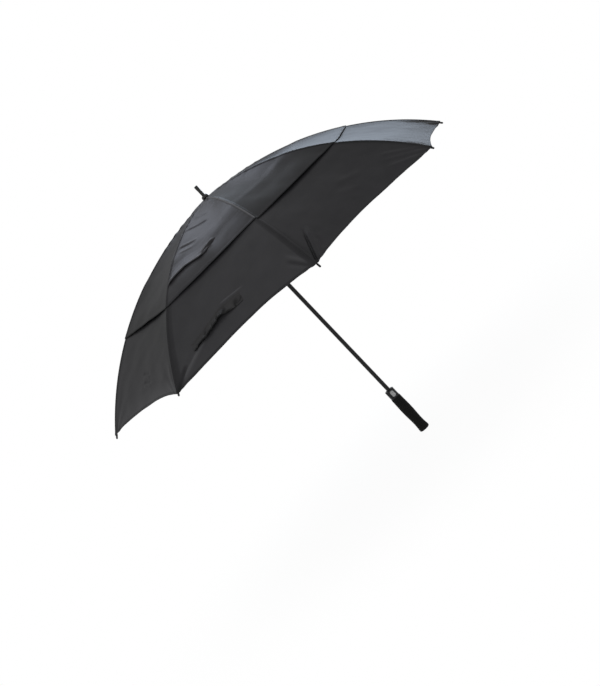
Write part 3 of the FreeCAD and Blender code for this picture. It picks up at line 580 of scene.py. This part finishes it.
def meshFromGrid(name, grid, uvs, material, thickness, tone):
    rows, columns = grid.shape[0], grid.shape[1]
    normals = np.zeros_like(grid)
    normals[1:-1, 1:-1] = np.cross(grid[1:-1, 2:] - grid[1:-1, :-2], grid[:-2, 1:-1] - grid[2:, 1:-1])
    normals[0], normals[-1] = normals[1], normals[-2]
    normals[:, 0], normals[:, -1] = normals[:, 1], normals[:, -2]
    normals /= np.maximum(np.linalg.norm(normals, axis=2, keepdims=True), 1e-12)
    if normals[2, columns // 2, 2] < 0:
        normals = -normals
    vertices = np.concatenate([grid.reshape(-1, 3), (grid - normals * thickness).reshape(-1, 3)])
    number = np.arange(rows * columns).reshape(rows, columns)
    corners = [number[:-1, :-1], number[1:, :-1], number[1:, 1:], number[:-1, 1:]]
    top = np.stack(corners, axis=2).reshape(-1, 4)
    bottom = top[:, ::-1] + rows * columns
    border = np.concatenate([number[0, :-1], number[:-1, -1], number[-1, :0:-1], number[:0:-1, 0]])
    onward = np.roll(border, -1)
    rim = np.stack([border, onward, onward + rows * columns, border + rows * columns], axis=1)
    mesh = bpy.data.meshes.new(name)
    mesh.from_pydata(vertices.tolist(), [], np.concatenate([top, bottom, rim]).tolist())
    mesh.update()
    layer = mesh.uv_layers.new(name="clothUV")
    flat = np.concatenate([uvs.reshape(-1, 2), uvs.reshape(-1, 2)])
    index = np.zeros(len(mesh.loops), int)
    mesh.loops.foreach_get("vertex_index", index)
    layer.data.foreach_set("uv", flat[index].ravel())
    toneLayer = mesh.attributes.new("tone", "FLOAT", "POINT")
    flatTone = np.broadcast_to(tone, (rows, columns)).ravel()
    toneLayer.data.foreach_set("value", np.concatenate([flatTone, flatTone]).astype(np.float32))
    mesh.polygons.foreach_set("use_smooth", [True] * len(mesh.polygons))
    mesh.materials.append(material)
    piece = bpy.data.objects.new(name, mesh)
    bpy.context.scene.collection.objects.link(piece)
    return piece


def goreTone(gore, layer, along, tangent, across, edge, start, end):
    band = canopy["hemBand"]
    turned = end - band["width"]
    # painted shade along the turned hem band
    tone = band["tone"] * smooth(along, turned - band["toneStep"], turned)
    outward = (along - start) / (end - start)
    # painted shade and painted highlight over the whole gore
    first, second = (np.interp(outward, goreShadePlaces, tones) for tones in zip(*paintedGoreShade.get((gore, layer), noGoreShade)))
    tone = tone + blend(first, second, (1 + across) / 2)
    # painted shade beside the seams, or a painted highlight where the tone is below 0
    for side in (-1, 1):
        deep, wide, wideAtTip = seamTones.get((gore, layer, side), canopy["seamTone"])
        width = blend(wide, wideAtTip, smooth(along, *canopy["seamToneAlong"]))
        full, gone = (share * width for share in canopy["seamToneEdge"])
        tone = tone + np.where(side * tangent > 0, deep * (1 - smooth(edge, full, gone)), 0)
    # painted shade or painted highlight along the creases
    for inner, outer, _, width, deep in creases.get((gore, layer), []):
        tone = tone + deep * creaseMask(inner, outer, width, along, tangent)
    # a painted highlight along the fold's crest
    if layer == "upper" and gore == fold["gore"]:
        paintedHighlight = fold["paintedHighlight"]
        line = peak(along - foldCrest(tangent) + paintedHighlight["above"], paintedHighlight["width"])
        tone = tone - paintedHighlight["tone"] * line * foldStrength(tangent, edge)
    return np.clip(tone, -1, 1)


def goreGrid(gore, layer):
    if (gore, layer) in creases:
        rows, columns, crowding = canopy["fineRows"], canopy["fineColumns"], canopy["fineCrowding"]
    else:
        rows, columns, crowding = canopy["rows"], canopy["columns"], canopy["crowding"]
    even = np.linspace(-1, 1, columns)[None, :]
    across = np.sign(even) * (1 - (1 - np.abs(even)) ** crowding)  # from -1 to 1 between the seams
    share = np.linspace(0, 1, rows)[:, None]
    if layer == "lower":
        start, hem, scallop = canopy["lowerStart"], canopy["hem"], canopy["hemScallop"][gore - 1]
        reaches = canopy["hemReach"][gore - 1], canopy["hemReach"][gore % umbrella["gores"]]
        skew, flatness = canopy["hemSkew"][gore - 1], canopy["hemFlatness"][gore - 1]
    else:
        start, hem, scallop = 0.0, canopy["upperHem"], canopy["upperScallop"]
        reaches = canopy["ventReach"].get(gore, (0, 0))
        skew, flatness = 0, 2
    end = hem + np.interp(across, (-1, 1), reaches) - scallop * (1 - np.abs(across) ** flatness)
    end = end + skew * canopy["skewShape"] * across * (1 - across ** 2)
    folded = layer == "upper" and gore == fold["gore"]
    along = foldRows(across, rows, end) if folded else blend(start, end, share)
    onRib = canopy["lift"][layer] + cloth["thickness"]
    halfWidth = halfWidthAt(along, onRib + canopy["seam"]["height"])
    tangent = across * halfWidth
    relief = clothRelief(gore, layer, along, tangent, across)
    band = canopy["hemBand"]
    turned = end - band["width"]
    turnedHem = band["height"] * smooth(along, turned - band["step"], turned)
    place = along
    if folded:
        shift, height = foldShift(along, tangent, end)
        place, relief = along + shift, relief + height
    x, y, z = clothPoint(place, tangent, onRib + relief + turnedHem)
    grid = np.stack([x, np.broadcast_to(y, x.shape), z], axis=2)
    uvs = np.stack([np.broadcast_to(tangent, x.shape), np.broadcast_to(along, x.shape)], axis=2)
    tone = goreTone(gore, layer, along, tangent, across, halfWidth - np.abs(tangent), start, end)
    return grid, uvs, tone


# painted shade and painted highlight on a gore, darker or lighter where less or more light falls: tone beside its
# first and second rib, at each of three places
goreShadePlaces = (0, 0.5, 1)  # from its inner end to its hem
noGoreShade = ((0, 0),) * 3
paintedGoreShade = {
    (5, "lower"): ((0.15, 0.5), (0.15, 1.3), (-0.12, -0.36)),
    (5, "upper"): ((-0.05, -0.10), (0.40, 0.35), (1.0, 0.8)),
    (6, "lower"): ((0.15, -0.10), (-0.08, -0.10), (-0.17, -0.13)),
    (6, "upper"): ((-0.06, -0.06), (-0.12, -0.06), (-0.10, 0.05)),
    (7, "upper"): ((0.30, 0.30), (0.70, 0.45), (1.0, 0.85)),
    (7, "lower"): ((0, 0.4), (0, 0.4), (0, 0)),
}


# gores whose seams have painted shade beside them, or a painted highlight where the tone is below 0, by side;
# values as in the canopy's seamTone
seamTones = {
    (1, "lower", -1): (-0.25, 0.003, 0.003),
    (1, "upper", -1): (-0.25, 0.003, 0.003),
    (8, "lower", 1): (0.85, 0.0008, 0.042),
    (8, "lower", -1): (0.5, 0.003, 0.010),
    (8, "upper", 1): (-0.7, 0.0090, 0.0090),
    (8, "upper", -1): (0.0, 0.003, 0.003),
    (7, "lower", 1): (0.5, 0.012, 0.012),
    (7, "lower", -1): (0.45, 0.007, 0.020),
    (7, "upper", -1): (1.0, 0.0050, 0.0050),
    (6, "upper", 1): (-0.8, 0.0048, 0.0048),
    (6, "upper", -1): (0.15, 0.005, 0.005),
    (6, "lower", 1): (0.65, 0.010, 0.013),
    (6, "lower", -1): (0.5, 0.014, 0.021),
    (5, "lower", 1): (0.05, 0.006, 0.006),
    (5, "lower", -1): (0.7, 0.015, 0.018),
    (5, "upper", 1): (0.1, 0.006, 0.006),
}


# runs a node tree on a source mesh and keeps the result as a plain mesh
def bakeTree(name, source, tree, values):
    sourceObject = bpy.data.objects.new(name + "Source", source)
    bpy.context.scene.collection.objects.link(sourceObject)
    modifier = sourceObject.modifiers.new("tree", "NODES")
    modifier.node_group = tree
    for socket in tree.interface.items_tree:
        if socket.in_out == "INPUT" and socket.name in values:
            modifier[socket.identifier] = values[socket.name]
    graph = bpy.context.evaluated_depsgraph_get()
    mesh = bpy.data.meshes.new_from_object(sourceObject.evaluated_get(graph))
    bpy.data.objects.remove(sourceObject)
    piece = bpy.data.objects.new(name, mesh)
    bpy.context.scene.collection.objects.link(piece)
    return piece


def newTree(name, sizes, places=()):
    tree = bpy.data.node_groups.new(name, "GeometryNodeTree")
    sockets = tree.interface
    sockets.new_socket("Geometry", in_out="INPUT", socket_type="NodeSocketGeometry")
    for inputName in sizes:
        sockets.new_socket(inputName, in_out="INPUT", socket_type="NodeSocketFloat")
    for inputName in places:
        sockets.new_socket(inputName, in_out="INPUT", socket_type="NodeSocketVector")
    sockets.new_socket("Geometry", in_out="OUTPUT", socket_type="NodeSocketGeometry")
    return tree, addNode(tree, "NodeGroupInput"), addNode(tree, "NodeGroupOutput")


def endTree(tree, geometry, material, finish):
    real = addNode(tree, "GeometryNodeRealizeInstances")
    dress = addNode(tree, "GeometryNodeSetMaterial")
    dress.inputs["Material"].default_value = material
    tree.links.new(geometry, real.inputs["Geometry"])
    tree.links.new(real.outputs["Geometry"], dress.inputs["Geometry"])
    tree.links.new(dress.outputs["Geometry"], finish.inputs["Geometry"])


# rows of stitches beside the seams and along the hems
stitching = {
    "pitch": 0.0032,
    "length": 0.0023,
    "thread": 0.00035,
    "fromSeam": 0.0028,
    "fromHem": 0.0062,
    "hemEnds": 0.002,  # how far short of the seams' rows the hem's row ends
    "from": {"lower": 0.430, "upper": 0.022},  # further in, the vent covers the lower cloth
}


def makeStitchTree():
    tree, start, finish = newTree("stitchRows", ("Pitch", "Stitch Length", "Thread Width"))
    toCurve = addNode(tree, "GeometryNodeMeshToCurve")
    toPoints = addNode(tree, "GeometryNodeCurveToPoints", mode="LENGTH")
    stitch = addNode(tree, "GeometryNodeMeshIcoSphere")
    stitch.inputs["Radius"].default_value = 0.5
    stitch.inputs["Subdivisions"].default_value = 1
    size = addNode(tree, "ShaderNodeCombineXYZ")
    place = addNode(tree, "GeometryNodeInstanceOnPoints")
    tree.links.new(start.outputs["Geometry"], toCurve.inputs["Mesh"])
    tree.links.new(toCurve.outputs["Curve"], toPoints.inputs["Curve"])
    tree.links.new(start.outputs["Pitch"], toPoints.inputs["Length"])
    for axis, sizeName in (("X", "Thread Width"), ("Y", "Thread Width"), ("Z", "Stitch Length")):
        tree.links.new(start.outputs[sizeName], size.inputs[axis])
    tree.links.new(toPoints.outputs["Points"], place.inputs["Points"])
    tree.links.new(stitch.outputs["Mesh"], place.inputs["Instance"])
    tree.links.new(toPoints.outputs["Rotation"], place.inputs["Rotation"])
    tree.links.new(size.outputs["Vector"], place.inputs["Scale"])
    endTree(tree, place.outputs["Instances"], threadBlack, finish)
    return tree


stitchTree = makeStitchTree()


def stitchLines(grid, uvs, layer):
    along = uvs[:, :, 1]
    reach = grid[:, :, 1].max(axis=1) - stitching["fromSeam"]
    rows = [i for i in range(len(grid) - 1) if along[i, 0] > stitching["from"][layer]]
    lines = []
    for side in (-1, 1):
        lines.append([[np.interp(side * reach[i], grid[i, :, 1], grid[i, :, k]) for k in range(3)]
                      for i in rows])
    hem = []
    for j in range(grid.shape[1]):
        if abs(grid[-1, j, 1]) < reach[-1] - stitching["hemEnds"]:
            column = grid[::-1, j]
            fromEdge = np.concatenate([[0], np.cumsum(np.linalg.norm(np.diff(column, axis=0), axis=1))])
            hem.append([np.interp(stitching["fromHem"], fromEdge, column[:, k]) for k in range(3)])
    return lines + [hem]


def stitchPiece(name, lines):
    source = bpy.data.meshes.new(name)
    edges, points = [], []
    for line in lines:
        edges += [(len(points) + i, len(points) + i + 1) for i in range(len(line) - 1)]
        points += [tuple(float(v) for v in point) for point in line]
    source.from_pydata(points, edges, [])
    sizes = {"Pitch": stitching["pitch"], "Stitch Length": stitching["length"],
             "Thread Width": stitching["thread"]}
    return bakeTree(name, source, stitchTree, sizes)


def placeOnGore(piece, gore):
    azimuth = goreAzimuth(gore)
    piece.data.transform(Matrix.Rotation(azimuth, 4, "Z"))
    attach(piece, f"panel_{gore}")
    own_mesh(piece)


for gore in range(1, umbrella["gores"] + 1):
    for layer in ("lower", "upper"):
        grid, uvs, tone = goreGrid(gore, layer)
        piece = meshFromGrid(f"{layer}Gore_{gore}", grid, uvs, clothBlack, cloth["thickness"], tone)
        stitches = stitchPiece(f"{layer}Stitches_{gore}", stitchLines(grid, uvs, layer))
        for part in (piece, stitches):
            placeOnGore(part, gore)
        if layer == "lower":
            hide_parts(f"panel_{gore}")
print("canopy made")


# closing strap, sewn on one gore near the hem; its lower edge stands off the cloth in small gathers
strap = {
    "gore": 6,
    "width": 0.031,
    # places along the strap, and there its two edges and how far the lower one stands off
    "tangent": (0.036, 0.012, -0.018, -0.034, -0.050, -0.063, -0.081, -0.097, -0.116, -0.132, -0.150),
    "lowerEdge": (0.6340, 0.6370, 0.6355, 0.6320, 0.6320, 0.6390, 0.6430, 0.6490, 0.6535, 0.6555, 0.6585),
    "upperEdge": (0.6030, 0.6000, 0.5990, 0.6000, 0.6020, 0.6060, 0.6110, 0.6180, 0.6240, 0.6280, 0.6320),
    "standOff": (0.0004, 0.0008, 0.0052, 0.0112, 0.0118, 0.0100, 0.0086, 0.0078, 0.0068, 0.0056, 0.0030),
    "rounding": 25,
    # gathers: place, width and depth
    "gathers": ((0.006, 0.0034, 0.8), (-0.0265, 0.0050, 0.45), (-0.0575, 0.0044, 0.25),
                (-0.078, 0.0040, 0.3), (-0.104, 0.0050, 0.3), (-0.135, 0.0036, 0.3)),
    "gatherTaper": 0.35,  # share of the width at the upper edge
    # painted shade in the gathers' valleys
    "gatherTone": (0.9, 0.3),  # tone, and what every depth adds to its own
    "gatherFrom": (0.25, 0.8),
    # painted shadows, dark blobs where the lower edge lifts: place, share of the way across, length, share of the
    # width and tone
    "paintedShadows": ((0.010, 0.64, 0.0080, 0.30, 0.85), (-0.0285, 0.60, 0.0090, 0.36, 1.0),
                (-0.054, 0.62, 0.0055, 0.28, 0.8), (-0.074, 0.58, 0.0048, 0.26, 0.6),
                (-0.101, 0.50, 0.0075, 0.30, 0.85)),
    "lift": 0.0009,
    "liftFrom": (0.15, 1.0),
    "thickness": 0.0008,
    "rolledEdge": (0.0006, 0.09),  # height and share of the width
    "sewnEnd": (0.0022, 0.010),  # how deep and how long the stitches press the end down
    # shade under the lower edge: tone and the shares of the way across between which it rises
    "shade": ((0.2, 0.15, 0.5), (0.8, 0.78, 0.90)),
    "shadeStandOff": (0.002, 0.005),
    # the patch's rim is raised, with a ring of painted shade along it
    "patch": {"tangent": 0.018, "share": 0.5, "radius": 0.0105, "rim": (0.0007, 0.0018),
              "tone": (0.7, 0.0030), "toneFrom": (0.2, 0.7)},
    "stitchColumn": 6,
    "stitchEnds": 6,
    "rows": 190,
    "columns": 36,
}


def strapGrid():
    share = np.linspace(0, 1, strap["rows"])[:, None]
    side = np.linspace(0, 1, strap["columns"])[None, :]
    tangent = blend(strap["tangent"][0], strap["tangent"][-1], share)

    def follow(values):
        listed = np.interp(-tangent[:, 0], [-t for t in strap["tangent"]], values)
        return rounded(listed, strap["rounding"])[:, None]

    upper, lower, stand = follow(strap["upperEdge"]), follow(strap["lowerEdge"]), follow(strap["standOff"])
    along = blend(upper, lower, side)
    tone = 0
    gatherTone, ownTone = strap["gatherTone"]
    for place, width, depth in strap["gathers"]:
        dent = peak(tangent - place, width * blend(strap["gatherTaper"], 1, side))
        stand = stand * (1 - depth * dent)
        # painted shade in each gather
        tone = np.maximum(tone, gatherTone * (ownTone + depth) * dent * smooth(side, *strap["gatherFrom"]))
    # painted shadows where the lower edge lifts
    for place, middle, length, width, deep in strap["paintedShadows"]:
        tone = np.maximum(tone, deep * peak(tangent - place, length) * peak(side - middle, width))
    edgeHeight, edgeWidth = strap["rolledEdge"]
    height = stand * smooth(side, *strap["liftFrom"]) + edgeHeight * peak(side, edgeWidth)
    pressed, pressedLength = strap["sewnEnd"]
    height = height - pressed * (1 - smooth(strap["tangent"][0] - tangent, 0.0, pressedLength))
    patch = strap["patch"]
    fromMiddle = np.hypot(tangent - patch["tangent"], (side - patch["share"]) * (lower - upper))
    fromRim = fromMiddle - patch["radius"]
    rimHeight, rimWidth = patch["rim"]
    rimTone, rimToneWidth = patch["tone"]
    height = height + rimHeight * peak(fromRim, rimWidth)
    # painted shade along the patch's rim
    tone = np.maximum(tone, rimTone * peak(fromRim, rimToneWidth) * smooth(side, *patch["toneFrom"]))
    shade = sum(deep * smooth(side, low, high) for deep, low, high in strap["shade"])
    tone = np.maximum(tone, shade * smooth(stand, *strap["shadeStandOff"]))
    under = clothRelief(strap["gore"], "lower", along, tangent, tangent / halfWidthAt(along))
    onCloth = canopy["lift"]["lower"] + cloth["thickness"] + under
    x, y, z = clothPoint(along, tangent, onCloth + strap["lift"] + height)
    grid = np.stack([x, np.broadcast_to(y, x.shape), z], axis=2)
    uvs = np.stack([along, np.broadcast_to(tangent, along.shape)], axis=2)
    return grid, uvs, tone


grid, uvs, tone = strapGrid()
strapPiece = meshFromGrid("closingStrap", grid[:, ::-1], uvs[:, ::-1], strapBlack, strap["thickness"],
                          tone[:, ::-1])
stitchRows = slice(strap["stitchEnds"], -strap["stitchEnds"])
strapStitches = stitchPiece("strapStitches", [grid[stitchRows, strap["stitchColumn"]]])
for part in (strapPiece, strapStitches):
    placeOnGore(part, strap["gore"])
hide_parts("closing_strap")
print("strap made")


# opening spring on the shaft, between runner and slider
spring = {
    "turns": 12,
    "coilRadius": 0.0074,
    "wireRadius": 0.0007,
    "pointsPerTurn": 40,
    "sides": 12,
}


def makeSpringTree():
    tree, start, finish = newTree("coilSpring", ("Turns", "Coil Radius", "Wire Radius", "Height"), ("Base",))
    coil = addNode(tree, "GeometryNodeCurveSpiral")
    coil.inputs["Resolution"].default_value = spring["pointsPerTurn"]
    wire = addNode(tree, "GeometryNodeCurvePrimitiveCircle")
    wire.inputs["Resolution"].default_value = spring["sides"]
    sweep = addNode(tree, "GeometryNodeCurveToMesh")
    sweep.inputs["Fill Caps"].default_value = True
    lift = addNode(tree, "GeometryNodeTransform")
    soft = addNode(tree, "GeometryNodeSetShadeSmooth")
    for size, socket in (("Turns", "Rotations"), ("Coil Radius", "Start Radius"),
                         ("Coil Radius", "End Radius"), ("Height", "Height")):
        tree.links.new(start.outputs[size], coil.inputs[socket])
    tree.links.new(start.outputs["Wire Radius"], wire.inputs["Radius"])
    tree.links.new(start.outputs["Base"], lift.inputs["Translation"])
    tree.links.new(coil.outputs["Curve"], sweep.inputs["Curve"])
    tree.links.new(wire.outputs["Curve"], sweep.inputs["Profile Curve"])
    tree.links.new(sweep.outputs["Mesh"], lift.inputs["Geometry"])
    tree.links.new(lift.outputs["Geometry"], soft.inputs["Geometry"])
    endTree(tree, soft.outputs["Geometry"], finishes["spring_steel"], finish)
    return tree


springLow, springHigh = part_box("main_spring")
springHeight = springHigh[2] - springLow[2] - 2 * spring["wireRadius"]
springSizes = {
    "Turns": float(spring["turns"]),
    "Coil Radius": spring["coilRadius"],
    "Wire Radius": spring["wireRadius"],
    "Height": springHeight,
    "Base": (0.0, 0.0, springLow[2] + spring["wireRadius"]),
}
springPiece = bakeTree("openingSpring", bpy.data.meshes.new("springSource"), makeSpringTree(), springSizes)
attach(springPiece, "runner")
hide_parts("main_spring")
print("spring made")


# stage: pale floor under the butt, white beyond it, soft lamps
stage = {
    "floorSize": 14.0,
    "floorZ": -0.002,
    "floorColour": (0.85, 0.85, 0.85),
    "ambient": 0.75,
    "whiteShare": 0.95,
    "fadeFrom": 0.4,
    "fadeTo": 1.2,
    "lampDrop": 0.1,  # the lamps point this far below the crown
}


def seenByEye(tree):
    path = addNode(tree, "ShaderNodeLightPath")
    first = addNode(tree, "ShaderNodeMath", operation="MAXIMUM")
    second = addNode(tree, "ShaderNodeMath", operation="MAXIMUM")
    tree.links.new(path.outputs["Is Camera Ray"], first.inputs[0])
    tree.links.new(path.outputs["Is Glossy Ray"], first.inputs[1])
    tree.links.new(first.outputs[0], second.inputs[0])
    tree.links.new(path.outputs["Is Transmission Ray"], second.inputs[1])
    return second.outputs[0]


def makeWorld():
    world = bpy.data.worlds.new("studio")
    world.use_nodes = True
    bpy.context.scene.world = world
    tree = world.node_tree
    ambient = tree.nodes["Background"]
    ambient.inputs["Color"].default_value = (1, 1, 1, 1)
    ambient.inputs["Strength"].default_value = stage["ambient"]
    white = addNode(tree, "ShaderNodeBackground")
    white.inputs["Color"].default_value = (1, 1, 1, 1)
    white.inputs["Strength"].default_value = 1
    mix = addNode(tree, "ShaderNodeMixShader")
    tree.links.new(seenByEye(tree), mix.inputs["Fac"])
    tree.links.new(ambient.outputs[0], mix.inputs[1])
    tree.links.new(white.outputs[0], mix.inputs[2])
    tree.links.new(mix.outputs[0], tree.nodes["World Output"].inputs["Surface"])


def makeFloor():
    material = bpy.data.materials.new("floorWhite")
    material.use_nodes = True
    tree = material.node_tree
    tree.nodes.remove(tree.nodes["Principled BSDF"])
    diffuse = addNode(tree, "ShaderNodeBsdfDiffuse")
    diffuse.inputs["Color"].default_value = (*stage["floorColour"], 1)
    glow = addNode(tree, "ShaderNodeEmission")
    paper = addNode(tree, "ShaderNodeMixShader")
    coords = addNode(tree, "ShaderNodeTexCoord")
    away = addNode(tree, "ShaderNodeVectorMath", operation="LENGTH")
    fade = addNode(tree, "ShaderNodeMapRange", interpolation_type="SMOOTHSTEP")
    for socket, value in (("From Min", stage["fadeFrom"]), ("From Max", stage["fadeTo"]),
                          ("To Min", stage["whiteShare"]), ("To Max", 1.0)):
        fade.inputs[socket].default_value = value
    tree.links.new(coords.outputs["Object"], away.inputs[0])
    tree.links.new(away.outputs["Value"], fade.inputs["Value"])
    tree.links.new(fade.outputs["Result"], paper.inputs["Fac"])
    tree.links.new(diffuse.outputs[0], paper.inputs[1])
    tree.links.new(glow.outputs[0], paper.inputs[2])
    mix = addNode(tree, "ShaderNodeMixShader")
    tree.links.new(seenByEye(tree), mix.inputs["Fac"])
    tree.links.new(diffuse.outputs[0], mix.inputs[1])
    tree.links.new(paper.outputs[0], mix.inputs[2])
    tree.links.new(mix.outputs[0], tree.nodes["Material Output"].inputs["Surface"])
    half = stage["floorSize"] / 2
    corners = [(x * half, y * half, stage["floorZ"]) for x, y in ((-1, -1), (1, -1), (1, 1), (-1, 1))]
    mesh = bpy.data.meshes.new("floor")
    mesh.from_pydata(corners, [], [(0, 1, 2, 3)])
    mesh.materials.append(material)
    floor = bpy.data.objects.new("floor", mesh)
    bpy.context.scene.collection.objects.link(floor)


def makeLamp(name, lamp, aim):
    data = bpy.data.lights.new(name, "AREA")
    data.color = lamp["colour"]
    data.shape, data.size, data.energy = "DISK", lamp["size"], lamp["power"]
    place = aim + Vector(lamp["towards"]).normalized() * lamp["distance"]
    light = bpy.data.objects.new(name, data)
    light.location = place
    light.rotation_mode = "QUATERNION"
    light.rotation_quaternion = (aim - place).to_track_quat("-Z", "Y")
    bpy.context.scene.collection.objects.link(light)


lamps = {
    "lowLamp": {"towards": (0.4951, 0.8576, 0.1392), "distance": 3.0, "size": 1.8, "power": 30,
                "colour": (0.69, 0.82, 1.0)},
    "keyLamp": {"towards": (0.4698, 0.8138, 0.3420), "distance": 3.0, "size": 1.8, "power": 9,
                "colour": (0.69, 0.83, 1.0)},
    "crownLamp": {"towards": (0.0862, 0.7018, 0.7071), "distance": 3.0, "size": 1.2, "power": 18,
                  "colour": (0.78, 0.84, 1.0)},
}
lampAim = Vector((0, 0, crownZ - stage["lampDrop"]))
makeWorld()
makeFloor()
for lampName, lamp in lamps.items():
    makeLamp(lampName, lamp, lampAim)
print("stage made")
